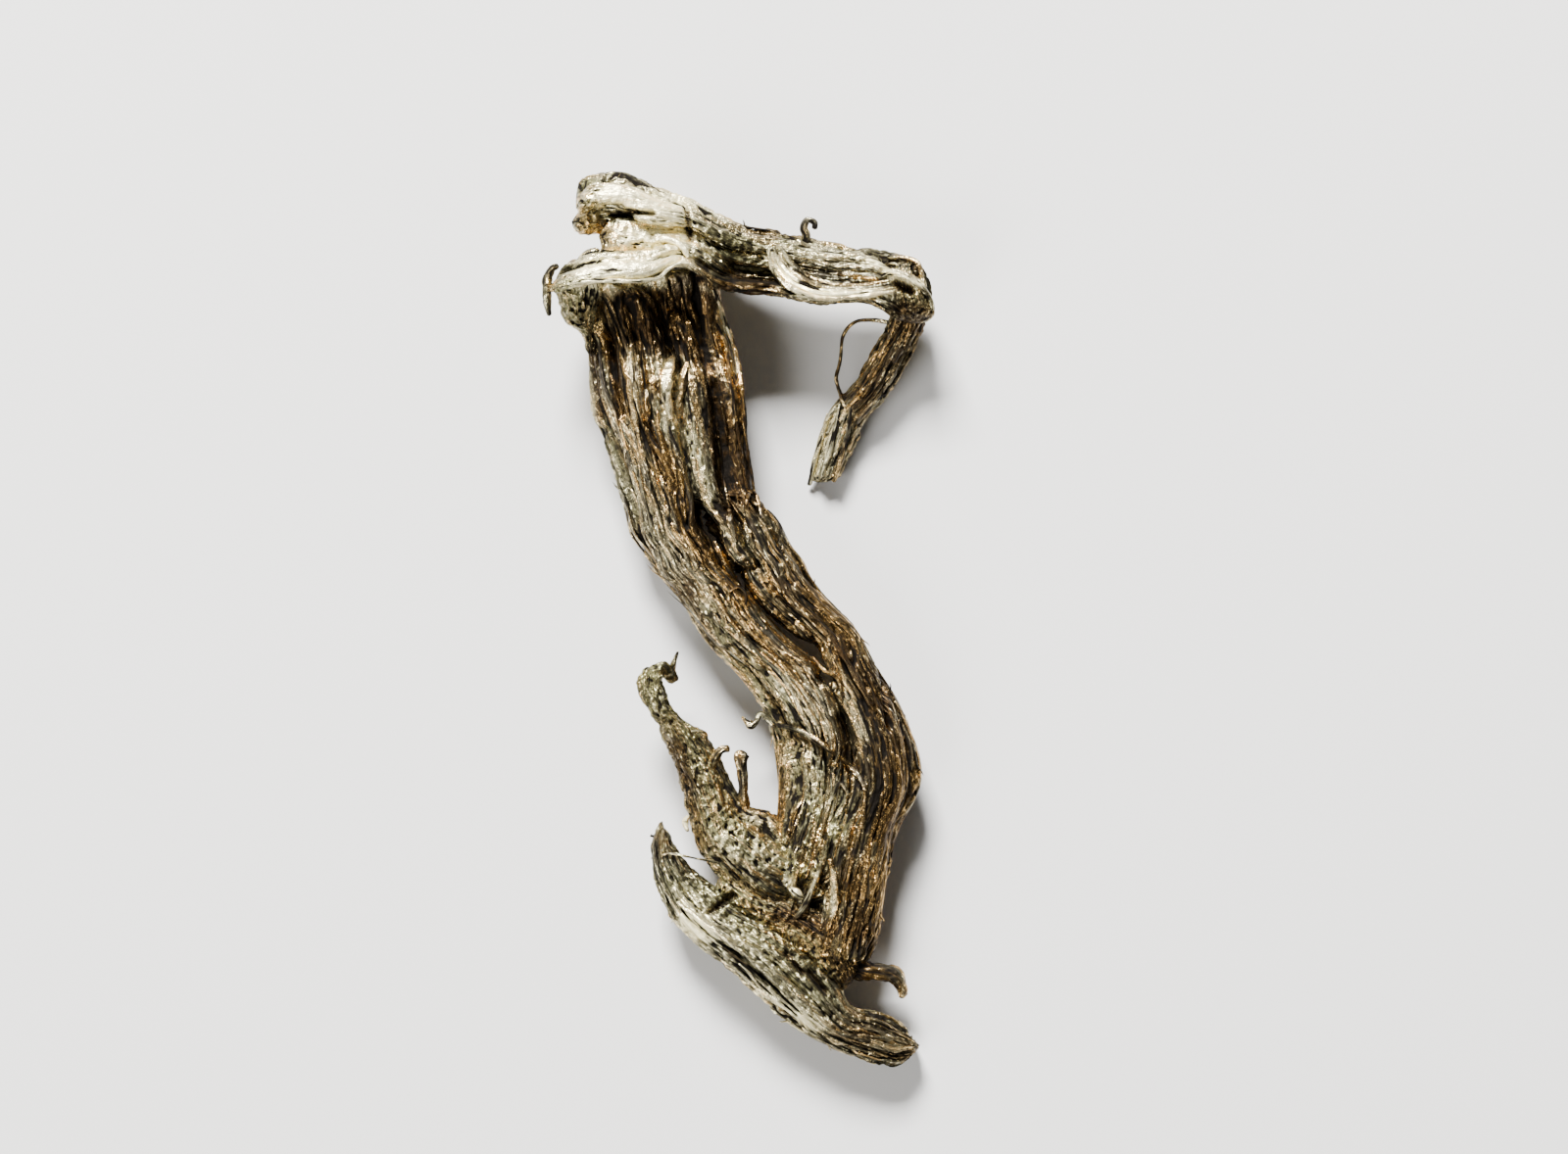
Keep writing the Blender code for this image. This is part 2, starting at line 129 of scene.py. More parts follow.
STEM_SKINS = (
    Skin("stem_left_half", (0, 1, 2, 3, 4, 5, 15, 16, 20, 21), -0.1, 13.0, 330, 200, 0.25, 0.3),
    Skin("stem_right_top", (6, 7, 13, 14, 17, 18), -0.1, 5.3, 150, 130, 0.1, 0.3),
    Skin("stem_right_half", (8, 9, 10, 17, 22, 23), 3.7, 13.0, 240, 150, 0.25, 0.3),
    Skin("stem_foot_core", (12, 19), 7.2, 13.0, 150, 90, 0.2, 0.3),
    Skin("stem_lens", (11,), 5.0, 6.7, 70, 80, 0.0, 0.8),
)

ARM = Bundle(
    stations=(
        Station(-8.1, 22.8, -9.7, 16.3, 4.1, 3.4),
        Station(-5.9, 23.0, -7.4, 16.8, 4.0, 4.1),
        Station(-3.9, 22.1, -4.9, 17.2, 3.9, 4.0),
        Station(-2.3, 21.4, -2.9, 17.9, 4.0, 3.1),
        Station(-0.1, 20.3, -0.7, 16.8, 4.1, 2.3),
        Station(1.9, 19.95, 1.9, 16.5, 4.2, 1.8),
        Station(4.6, 19.4, 4.1, 16.1, 4.1, 1.7),
        Station(6.9, 19.0, 6.3, 16.2, 3.9, 1.6),
        Station(9.15, 18.3, 7.7, 15.6, 3.6, 1.6),
        Station(10.0, 16.4, 8.3, 15.2, 3.1, 1.4),
    ),
    strands=(
        Strand(-0.97, 0.30, 0.0, 9.0, 0.12),
        Strand(-0.62, 0.80, 0.25, 9.0, 0.22),
        Strand(-0.36, 0.30, 0.15, 9.0, 0.26),
        Strand(-0.42, 0.80, 1.5, 9.0, 0.18),
        Strand(0.00, 0.60, 0.95, 9.0, 0.22),
        Strand(0.28, 0.66, 0.95, 9.0, 0.20),
        Strand(0.60, 0.86, 0.6, 9.0, 0.19),
        Strand(0.97, 1.00, 0.0, 9.0, 0.17),
        Strand(0.88, 0.10, 0.0, 9.0, 0.20),
        Strand(-0.70, -0.80, 0.3, 9.0, 0.26),
        Strand(0.00, -1.00, 1.0, 9.0, 0.28),
        Strand(0.70, -0.85, 0.4, 9.0, 0.24),
        Strand(-0.05, 0.00, 1.1, 9.0, 0.44),
        Strand(0.60, 0.00, 1.0, 9.0, 0.38),
        Strand(-0.60, 0.05, 0.7, 9.0, 0.36),
    ),
)
ARM_SKINS = (
    Skin("head_top_lip", (0, 1, 3, 14), 0.0, 9.0, 210, 120, 0.12, 0.5),
    Skin("head_back_lump", (2,), 0.12, 4.0, 110, 70, 0.05, 1.0),
    Skin("head_middle_lip", (4, 5, 12), 0.85, 9.0, 180, 110, 0.12, 0.6),
    Skin("head_ledge", (6, 7, 8, 13), 0.0, 9.0, 220, 120, 0.12, 0.6),
    Skin("head_back", (9, 10, 11), 0.95, 9.0, 140, 90, 0.1, 0.5),
)

# The granular shoulder that runs down from the ledge's corner to the stem's left edge.
SHOULDER = Bundle(
    stations=(
        Station(-9.35, 17.3, -6.9, 17.5, 6.1, 1.0),
        Station(-9.3, 16.7, -6.8, 16.9, 5.7, 1.1),
        Station(-9.15, 16.0, -7.0, 16.0, 5.2, 1.1),
        Station(-8.8, 15.25, -7.3, 15.2, 4.6, 0.9),
        Station(-8.0, 14.65, -7.4, 14.5, 4.2, 0.65),
        Station(-7.8, 13.6, -7.4, 13.5, 4.0, 0.4),
    ),
    strands=(
        Strand(-0.9, 0.2, 0, 5, 0.5),
        Strand(-0.1, 0.6, 0, 5, 0.5),
        Strand(0.8, 0.2, 0, 5, 0.5),
        Strand(0.0, -0.5, 0, 5, 0.6),
    ),
)
SHOULDER_SKINS = (Skin("head_shoulder", (0, 1, 2, 3), 0.0, 5.0, 100, 90, 0.05, 0.5),)

# The dark block at the arm's far end.
KNUCKLE = Bundle(
    stations=(
        Station(7.5, 18.35, 9.05, 18.45, 4.3, 1.0),
        Station(7.4, 17.5, 9.25, 17.55, 4.3, 1.2),
        Station(7.55, 16.8, 9.6, 16.8, 4.1, 1.4),
        Station(7.7, 16.15, 9.9, 16.2, 3.8, 1.4),
        Station(7.8, 15.65, 9.85, 15.55, 3.6, 1.3),
        Station(7.95, 15.35, 9.35, 15.15, 3.5, 1.1),
    ),
    strands=(
        Strand(-0.9, 0.8, 0, 5, 0.4),
        Strand(0.0, 1.0, 0, 5, 0.4),
        Strand(0.9, 0.8, 0, 5, 0.4),
        Strand(-0.9, -0.8, 0, 5, 0.4),
        Strand(0.9, -0.8, 0, 5, 0.4),
        Strand(0.0, 0.0, 0, 5, 0.6),
    ),
)
KNUCKLE_SKINS = (Skin("arm_knuckle", (0, 1, 2, 3, 4, 5), 0.0, 5.0, 90, 100, 0.05, 0.5),)

# The granular web between the horn's root, the foot and the lobe.
WEB = Bundle(
    stations=(
        Station(-1.6, -13.7, -0.4, -12.3, 2.3, 0.8),
        Station(0.0, -14.95, 1.1, -13.3, 2.6, 1.0),
        Station(1.65, -15.85, 2.75, -14.0, 2.6, 1.0),
        Station(3.15, -16.85, 4.5, -15.1, 2.6, 1.0),
        Station(4.25, -18.25, 6.0, -16.5, 2.5, 1.0),
        Station(5.05, -19.35, 6.3, -17.9, 2.2, 0.8),
    ),
    strands=(
        Strand(-0.9, 0.4, 0, 5, 0.45),
        Strand(0.0, 0.9, 0, 5, 0.45),
        Strand(0.9, 0.4, 0, 5, 0.45),
        Strand(0.0, -0.6, 0, 5, 0.6),
    ),
)
WEB_SKINS = (Skin("foot_web", (0, 1, 2, 3), 0.0, 5.0, 120, 80, 0.1, 0.5),)

HANGING = Bundle(
    stations=(
        Station(7.9, 16.2, 9.6, 16.2, 3.0, 1.0),
        Station(7.35, 15.0, 9.35, 14.9, 2.7, 1.0),
        Station(6.65, 13.75, 8.5, 13.15, 2.2, 0.95),
        Station(5.85, 12.25, 7.5, 11.5, 1.7, 0.9),
        Station(4.65, 10.85, 6.5, 10.35, 1.2, 0.85),
        Station(4.1, 9.45, 5.9, 9.0, 0.85, 0.85),
        Station(3.75, 8.1, 5.4, 8.0, 0.6, 0.85),
        Station(3.45, 7.2, 5.05, 7.15, 0.5, 0.8),
    ),
    strands=(
        Strand(-0.95, 0.1, 0, 7.0, 0.36),
        Strand(-0.25, 0.9, 0, 6.7, 0.36),
        Strand(0.50, 0.7, 0, 6.9, 0.36),
        Strand(0.95, -0.2, 0, 6.6, 0.36),
        Strand(0.05, -0.8, 0, 7.0, 0.44),
    ),
)
HANGING_SKINS = (Skin("hanging_strands", (0, 1, 2, 3, 4), -0.3, 7.0, 170, 110, 0.45, 0.2),)

HORN = Bundle(
    stations=(
        Station(2.2, -15.4, 4.2, -11.4, 1.9, 1.3),
        Station(0.9, -15.0, 2.6, -10.6, 2.5, 1.5),
        Station(-0.9, -13.4, 1.5, -9.7, 2.8, 1.5),
        Station(-2.15, -11.65, 0.5, -9.4, 3.0, 1.3),
        Station(-2.65, -9.75, -0.2, -8.55, 3.2, 1.15),
        Station(-3.2, -7.9, -1.0, -7.0, 3.4, 1.0),
        Station(-3.9, -6.1, -2.0, -5.4, 3.6, 0.85),
        Station(-4.65, -4.5, -3.3, -4.3, 3.8, 0.75),
        Station(-5.2, -3.5, -3.65, -3.1, 3.9, 0.75),
        Station(-5.05, -2.3, -3.95, -2.2, 3.9, 0.6),
    ),
    strands=(
        Strand(-0.95, 0.0, 0, 9.0, 0.34),
        Strand(-0.40, 0.9, 0, 9.0, 0.32),
        Strand(0.25, 0.9, 0, 8.9, 0.32),
        Strand(0.95, 0.1, 0, 6.0, 0.32),
        Strand(-0.35, -0.8, 0, 8.9, 0.40),
        Strand(0.45, -0.8, 0, 8.6, 0.38),
        Strand(0.10, 0.0, 0, 4.5, 0.50),
    ),
)
HORN_SKINS = (Skin("horn_strands", (0, 1, 2, 3, 4, 5, 6), 0.0, 9.0, 180, 120, 0.1, 0.5),)

LOBE = Bundle(
    stations=(
        Station(-4.2, -10.2, -3.6, -10.1, 3.5, 0.45),
        Station(-4.55, -11.85, -3.2, -11.65, 3.1, 0.9),
        Station(-4.35, -13.35, -2.35, -12.75, 2.6, 1.5),
        Station(-3.65, -15.0, -1.0, -13.75, 2.3, 2.0),
        Station(-2.5, -16.35, 0.4, -14.75, 2.1, 2.3),
        Station(-0.85, -17.65, 2.0, -15.5, 2.1, 2.35),
        Station(0.65, -19.15, 3.65, -16.65, 2.0, 2.3),
        Station(2.25, -20.5, 4.85, -18.0, 1.9, 2.15),
        Station(4.5, -21.75, 5.75, -19.75, 1.7, 1.95),
        Station(6.5, -22.6, 7.25, -20.15, 1.5, 1.75),
        Station(8.0, -22.95, 8.25, -20.75, 1.3, 1.4),
        Station(9.2, -22.2, 9.35, -21.7, 1.2, 0.8),
    ),
    strands=(
        Strand(-0.98, 0.20, 0.1, 11, 0.22),
        Strand(-0.66, 0.80, 0.3, 11, 0.22),
        Strand(-0.22, 1.00, 0.0, 10.9, 0.22),
        Strand(0.28, 0.95, 0.4, 10.8, 0.22),
        Strand(0.70, 0.75, 0.8, 10.5, 0.22),
        Strand(0.98, 0.15, 0.9, 10.3, 0.22),
        Strand(-0.60, -0.80, 0.5, 11, 0.34),
        Strand(0.05, -1.00, 0.5, 10.9, 0.36),
        Strand(0.65, -0.80, 0.8, 10.4, 0.34),
        Strand(-0.45, 0.40, 0.6, 10.5, 0.46),
        Strand(0.45, 0.40, 0.6, 10.5, 0.46),
        Strand(-0.45, -0.40, 0.6, 10.5, 0.46),
        Strand(0.45, -0.40, 0.6, 10.5, 0.46),
    ),
)
LOBE_SKINS = (
    Skin("lobe_main_ridges", (0, 1, 2, 6, 7, 9, 11), 0.0, 11.0, 230, 130, 0.1, 0.5),
    Skin("lobe_upper_ridges", (3, 4, 5, 8, 10, 12), 0.3, 10.9, 210, 115, 0.1, 0.5),
)

# Loose wires: x, y, z and radius at each point, from the end that is buried in a bundle.
LEFT_HOOK = (
    (-9.15, 18.0, 6.0, 0.14), (-9.45, 17.9, 6.2, 0.19), (-9.68, 17.4, 6.4, 0.22), (-9.7, 16.8, 6.5, 0.22),
    (-9.72, 16.15, 6.3, 0.19), (-9.6, 15.5, 6.0, 0.12),
)
LEFT_HOOK_ROOT = (
    (-8.6, 17.2, 6.8, 0.4), (-9.2, 17.0, 6.7, 0.3), (-9.68, 16.85, 6.5, 0.2),
)
ARM_LOOP = (
    (3.3, 19.0, 4.6, 0.3), (3.4, 19.65, 4.8, 0.22), (3.25, 20.05, 4.9, 0.19), (3.45, 20.4, 5.0, 0.18),
    (3.8, 20.3, 5.0, 0.18), (3.8, 19.95, 5.0, 0.15),
)
HANGING_HAIR = (
    (7.9, 15.3, 2.6, 0.12), (6.9, 15.5, 2.5, 0.1), (5.9, 15.4, 2.4, 0.1), (5.3, 14.7, 2.2, 0.1),
    (5.15, 13.4, 2.0, 0.1), (4.95, 12.5, 1.9, 0.1), (5.2, 11.6, 1.8, 0.1), (5.7, 10.6, 1.6, 0.12),
)
HORN_TIP = (
    (-4.5, -3.2, 3.9, 0.5), (-4.3, -2.6, 3.8, 0.42), (-4.0, -2.4, 3.5, 0.38), (-3.65, -2.7, 3.1, 0.33),
    (-3.45, -2.9, 3.0, 0.25), (-3.5, -2.45, 3.1, 0.18), (-3.35, -2.0, 3.4, 0.15), (-3.15, -1.5, 3.6, 0.07),
)
HORN_PIN = (
    (0.25, -9.9, 3.2, 0.32), (0.15, -8.6, 3.4, 0.26), (0.1, -7.4, 3.5, 0.28), (0.05, -6.9, 3.5, 0.36),
    (0.1, -6.55, 3.5, 0.3),
)
HORN_SPUR = (
    (-1.5, -7.6, 3.6, 0.3), (-1.25, -6.9, 3.7, 0.26), (-0.95, -6.55, 3.8, 0.22), (-0.5, -6.45, 3.8, 0.18),
)
STEM_CURL = (
    (1.9, -5.4, 3.2, 0.26), (1.1, -4.72, 3.3, 0.15), (0.8, -5.12, 3.4, 0.17), (0.55, -5.26, 3.4, 0.24),
    (0.35, -5.1, 3.4, 0.16), (0.1, -4.82, 3.4, 0.08),
)
FOOT_SPUR = (
    (4.6, -16.6, 2.6, 0.8), (5.8, -17.7, 2.6, 0.62), (7.0, -18.0, 2.5, 0.46), (7.9, -18.2, 2.3, 0.42),
    (8.3, -18.8, 2.1, 0.3), (8.35, -19.4, 2.0, 0.22),
)
SLIT_BRIDGE = (
    (-1.35, 4.15, 4, 0.08), (-1.1, 3.7, 4.1, 0.17), (-0.8, 3.1, 4.1, 0.2), (-0.45, 2.4, 4, 0.2),
    (0, 1.65, 3.8, 0.16),
)
SLIT_HAIR = (
    (3.65, -1.75, 4.5, 0.08), (4.3, -2.45, 4.9, 0.09), (4.85, -2.75, 4.9, 0.08), (5.15, -3.35, 4.7, 0.07),
    (5.25, -4.15, 4.3, 0.06),
)
CAVITY_BLOB = (
    (2.45, -13.6, 3.5, 0.12), (2.85, -13.85, 3.8, 0.24), (3.2, -14.15, 3.6, 0.16),
)
CAVITY_LEFT = (
    (4.2, -12.15, 3.9, 0.12), (3.8, -13.4, 3.9, 0.15), (3.35, -14.45, 3.8, 0.18), (2.75, -15.2, 3.5, 0.12),
)
CAVITY_RIGHT = (
    (4.6, -12.05, 4.1, 0.13), (4.85, -13.25, 4.1, 0.19), (4.85, -14.55, 4, 0.2), (4.5, -15.85, 3.6, 0.12),
)
LOBE_HAIR = (
    (-4.55, -12.1, 3.5, 0.06), (-3.6, -11.8, 4.2, 0.06), (-2.45, -12, 4.3, 0.06), (-1.05, -12.3, 4, 0.06),
)
HORN_SPIKE = (
    (-2.45, -9.85, 3.4, 0.14), (-2.75, -9.45, 3.5, 0.1), (-2.85, -9.05, 3.5, 0.04),
)
STEM_SPIKE = (
    (-3.05, 1.55, 3.2, 0.14), (-3.45, 1.75, 3.3, 0.11), (-3.55, 2, 3.3, 0.05),
)
HANGING_SPUR = (
    (5, 11.05, 1.6, 0.14), (4.65, 10.7, 1.6, 0.13), (4.4, 10.3, 1.5, 0.09),
)

# Wires laid on the skins. Their heights are measured from the skin under them.
FOLD_RIDGE = (
    (1.5, -5.2, -0.05, 0.08), (2.05, -5.3, 0.04, 0.13), (3.15, -5.6, 0.07, 0.15), (4.45, -6.4, 0.08, 0.15),
    (5.65, -7.4, 0.08, 0.14), (6.3, -8.4, 0.07, 0.14), (6.3, -9.65, 0.06, 0.14), (5.95, -11.25, 0.04, 0.13),
    (5.55, -13, 0.03, 0.11), (5.25, -15.5, -0.05, 0.08),
)
PLATE_EDGE = (
    (5.55, -8.85, 0, 0.09), (5.15, -8.25, 0.03, 0.12), (4.75, -8.85, 0.03, 0.12), (4.4, -9.85, 0.02, 0.11),
    (4.15, -11.05, 0, 0.08),
)
SWEEP_EDGE = (
    (1.45, 18.95, -0.03, 0.12), (1.7, 17.95, 0.03, 0.16), (2.4, 17, 0.04, 0.17), (3.95, 16.45, 0.03, 0.16),
    (6.25, 16.55, 0.02, 0.15), (7.95, 16.85, -0.03, 0.1),
)
SWEEP_INNER = (
    (2.05, 19.15, -0.04, 0.1), (2.5, 18.35, 0.02, 0.14), (3.45, 17.55, 0.03, 0.15), (4.65, 17.1, 0.02, 0.14),
    (6.35, 17.1, 0.02, 0.13), (7.65, 17.35, -0.03, 0.09),
)
RIM_LINE = (
    (-9.15, 16.9, -0.02, 0.1), (-7.85, 17.15, 0, 0.11), (-6.45, 17.15, 0, 0.11), (-5.05, 17.15, 0, 0.11),
    (-4.05, 17.35, 0, 0.11), (-3.55, 17.8, 0, 0.1), (-2.85, 18.1, 0.02, 0.1), (-2.15, 17.8, 0.02, 0.1),
    (-1.4, 17, 0, 0.08),
)
GOLD_RIM = (
    (-1.35, 16.95, -0.05, 0.1), (-0.95, 15.95, 0.03, 0.13), (-0.55, 14.75, 0.03, 0.15),
    (-0.15, 13.35, 0.02, 0.15), (0.1, 11.75, 0.02, 0.15), (0.25, 9.95, 0, 0.12), (0.4, 8.25, -0.04, 0.06),
)
GOLD_RIM_SECOND = (
    (-1.2, 15.25, -0.05, 0.08), (-0.75, 14.15, 0.02, 0.12), (-0.55, 12.55, 0.02, 0.13),
    (-0.35, 11.15, 0.02, 0.12), (-0.25, 9.75, -0.03, 0.07),
)
PALE_LUMP = (
    (-3.35, 13.55, -0.05, 0.16), (-3.6, 12.75, 0.04, 0.3), (-3.75, 11.85, 0.03, 0.3),
    (-3.65, 11.05, 0, 0.22), (-3.45, 10.25, -0.05, 0.12),
)
SMALL_LUMP = (
    (-2.65, 13.25, -0.05, 0.14), (-2.85, 12.35, 0.03, 0.22), (-2.95, 11.55, 0, 0.2),
    (-3.15, 10.75, -0.05, 0.12),
)
GREY_BEAD = (
    (-4.8, 11.85, -0.05, 0.14), (-4.7, 11.2, 0.03, 0.25), (-4.65, 10.55, 0, 0.22),
    (-4.7, 10.15, -0.05, 0.12),
)
BROKEN_END = (
    (1.45, 3.15, -0.05, 0.1), (0.9, 4.35, 0.04, 0.15), (0.4, 5.4, 0.06, 0.17), (0.35, 6.15, 0.1, 0.14),
    (0.45, 6.6, 0.12, 0.13), (0.75, 6.55, 0.1, 0.11), (0.95, 6.15, 0.06, 0.11), (1.1, 5.25, 0, 0.1),
)
BAND_FIRST = (
    (-4.7, 9.85, -0.05, 0.08), (-4.4, 9.15, 0.03, 0.14), (-3.95, 8.35, 0.04, 0.17),
    (-3.55, 7.55, 0.03, 0.15), (-3.3, 7.05, -0.05, 0.08),
)
BAND_SECOND = (
    (-3.65, 10.25, -0.05, 0.08), (-3.45, 9.45, 0.03, 0.13), (-3.15, 8.7, 0.03, 0.14),
    (-2.85, 7.9, -0.05, 0.08),
)
BAND_THIRD = (
    (-4.05, 7.55, -0.05, 0.08), (-3.7, 6.55, 0.03, 0.15), (-3.35, 5.55, 0.04, 0.16),
    (-3.05, 4.7, 0.03, 0.14), (-2.7, 3.85, -0.05, 0.08),
)
BAND_FOURTH = (
    (-4.9, 7.85, -0.05, 0.08), (-4.55, 6.75, 0.03, 0.12), (-4.2, 5.65, 0.03, 0.13),
    (-3.85, 4.5, -0.05, 0.08),
)
GROOVE_FIRST = (
    (-1.65, 12.35, -0.05, 0.06), (-1.3, 10.75, 0.02, 0.08), (-1.05, 8.95, 0.03, 0.09),
    (-0.8, 7.15, 0.03, 0.08), (-0.45, 5.35, -0.05, 0.06),
)
GROOVE_SECOND = (
    (-0.95, 11.25, -0.05, 0.06), (-0.65, 9.45, 0.02, 0.08), (-0.4, 7.65, 0.03, 0.08),
    (-0.05, 5.75, -0.05, 0.06),
)
GROOVE_THIRD = (
    (-0.4, 11.75, -0.05, 0.06), (-0.15, 9.95, 0.02, 0.08), (0.1, 8.25, 0.03, 0.09), (0.4, 6.65, -0.05, 0.06),
)
GROOVE_FOURTH = (
    (0.1, 10.75, -0.05, 0.06), (0.35, 9.15, 0.02, 0.08), (0.6, 7.55, 0.02, 0.08), (0.85, 6.15, -0.05, 0.06),
)
HOLE_RIM = (
    (-0.55, 0.9, -0.03, 0.11), (-0.5, 1.5, 0.05, 0.11), (-0.1, 1.8, 0.06, 0.11), (0.3, 1.45, 0.05, 0.11),
    (0.3, 0.85, -0.03, 0.11),
)
KNUCKLE_BAND = (
    (7.15, 17.55, -0.05, 0.12), (7.75, 17.75, 0.03, 0.18), (8.45, 17.55, 0.04, 0.2), (9.1, 17.1, 0.03, 0.18),
    (9.6, 16.55, 0, 0.15), (9.85, 15.85, -0.05, 0.1),
)
KNUCKLE_CORNER = (
    (7.5, 18.65, -0.03, 0.12), (8.25, 18.55, 0.03, 0.17), (9, 18.25, 0.03, 0.18), (9.25, 17.55, 0, 0.15),
    (9.45, 16.9, -0.05, 0.1),
)
MIDDLE_BEADS = (
    (-4.55, 19.15, -0.05, 0.1), (-4.05, 19.35, 0.04, 0.18), (-3.45, 19.25, 0.03, 0.16),
    (-2.9, 18.9, 0.02, 0.18), (-2.55, 18.35, -0.04, 0.12),
)
HORN_SPECK = (
    (-2.65, -10.75, -0.05, 0.08), (-2.8, -10.25, 0.05, 0.17), (-2.6, -9.9, -0.02, 0.08),
)
HANGING_LEFT = (
    (4.55, 10.75, -0.05, 0.1), (4.25, 9.75, 0.03, 0.14), (3.95, 8.75, 0.03, 0.15), (3.7, 7.75, 0.02, 0.15),
    (3.55, 7.05, 0, 0.12),
)
HANGING_MIDDLE = (
    (5.15, 11.25, -0.05, 0.1), (4.95, 10.15, 0.03, 0.14), (4.65, 8.95, 0.03, 0.15), (4.35, 7.95, 0.02, 0.14),
    (4.2, 7.45, 0, 0.1),
)
HANGING_RIGHT = (
    (5.65, 11.05, -0.05, 0.1), (5.55, 9.95, 0.02, 0.13), (5.3, 8.75, 0.02, 0.14), (4.95, 7.65, 0.02, 0.14),
    (4.8, 7.2, 0, 0.1),
)
LOBE_SLIT_EDGE = (
    (-3.25, -14.25, -0.05, 0.08), (-1.95, -15.25, 0.03, 0.12), (-0.65, -16.15, 0.03, 0.13),
    (0.85, -17.45, 0.02, 0.12), (2.05, -18.55, -0.05, 0.08),
)

# Where the silver is golden to brown (or cooler, where negative), pale with a painted highlight, granular,
# dark with tarnish and painted shade, and dented (in mm).
WARM = (
    Patch(-7.00, 15.65, -1.50, 15.50, 1.20, 0.50), Patch(-6.65, 14.50, -6.05, 10.60, 0.35, 0.90),
    Patch(-5.55, 13.85, -5.25, 10.40, 0.30, 1.00), Patch(-0.65, 16.75, 0.45, 8.25, 0.50, 0.70),
    Patch(-4.95, 10.40, -1.60, 3.30, 0.50, 0.50), Patch(-0.35, 9.75, 0.75, 6.25, 0.50, 0.50),
    Patch(1.75, 1.75, 6.25, -4.25, 1.20, 0.30), Patch(8.10, -6.25, 7.50, -15.25, 0.80, 0.60),
    Patch(7.40, -2.25, 7.50, -5.75, 0.60, -0.20), Patch(2.05, -6.50, 2.10, -9.35, 0.28, 1.30),
    Patch(5.75, -13.25, 6.75, -16.75, 1.20, 0.50), Patch(-1.00, -9.25, 1.75, -9.85, 0.40, 0.70),
    Patch(-2.80, -9.75, -2.15, -11.35, 0.30, 1.50), Patch(-3.60, -3.25, -2.75, -8.25, 0.20, 0.50),
    Patch(5.25, -20.75, 8.75, -22.00, 0.90, 0.50), Patch(0.65, -18.95, 3.35, -20.75, 0.35, 0.60),
    Patch(-7.65, 20.15, -6.75, 19.65, 0.50, 1.30), Patch(7.50, 14.25, 6.25, 11.75, 0.50, 0.15),
    Patch(8.65, 14.50, 6.75, 10.25, 0.45, -0.35), Patch(-4.15, -6.00, -3.25, -8.25, 0.30, 0.20),
    Patch(-0.50, 2.15, 0.15, 1.15, 0.35, 0.70), Patch(-0.50, 2.50, 1.00, -1.00, 0.50, 0.25),
    Patch(0.50, -14.50, 4.75, -17.50, 0.60, 0.50), Patch(-3.25, -13.25, 0.50, -15.00, 1.00, -0.45),
    Patch(1.00, -17.50, 4.75, -21.25, 0.90, -0.25), Patch(-7.50, 12.75, -5.75, 6.75, 0.70, -0.35),
    Patch(-5.75, 6.75, -1.25, -0.75, 0.80, -0.35), Patch(-2.75, 9.25, -1.35, 6.15, 0.50, -0.30),
    Patch(3.00, -6.75, 4.75, -9.75, 0.80, -0.10), Patch(3.75, -2.75, 5.50, -5.00, 0.80, -0.20),
    Patch(2.25, -14.00, 6.50, -15.00, 0.70, -0.35), Patch(-1.25, -15.75, 2.25, -18.25, 0.80, -0.25),
    Patch(5.15, 10.50, 3.85, 7.50, 0.70, -0.35), Patch(-4.15, -4.25, -4.50, -1.85, 0.70, -0.50),
    Patch(-4.15, -3.25, -2.75, -7.25, 0.70, -0.45), Patch(-6.05, 15.25, -5.75, 13.25, 0.35, 0.50),
    Patch(-0.75, 15.00, 0.00, 11.75, 0.40, 0.90), Patch(-7.85, 20.65, -7.25, 19.95, 0.40, 0.60),
    Patch(3.65, 2.15, 5.65, -0.75, 0.60, 0.60), Patch(-2.60, -9.85, -2.05, -11.15, 0.35, 0.50),
    Patch(5.75, -17.50, 7.50, -18.65, 0.35, 0.40), Patch(5.75, -19.65, 7.50, -20.35, 0.50, 0.30),
    Patch(-0.50, 20.35, 4.75, 19.50, 0.30, 0.25), Patch(1.00, -10.15, 1.50, -10.35, 0.40, 0.50),
    Patch(5.25, -18.25, 7.25, -18.75, 0.50, 0.40), Patch(-6.85, 19.45, -5.00, 18.95, 0.50, 0.35),
)
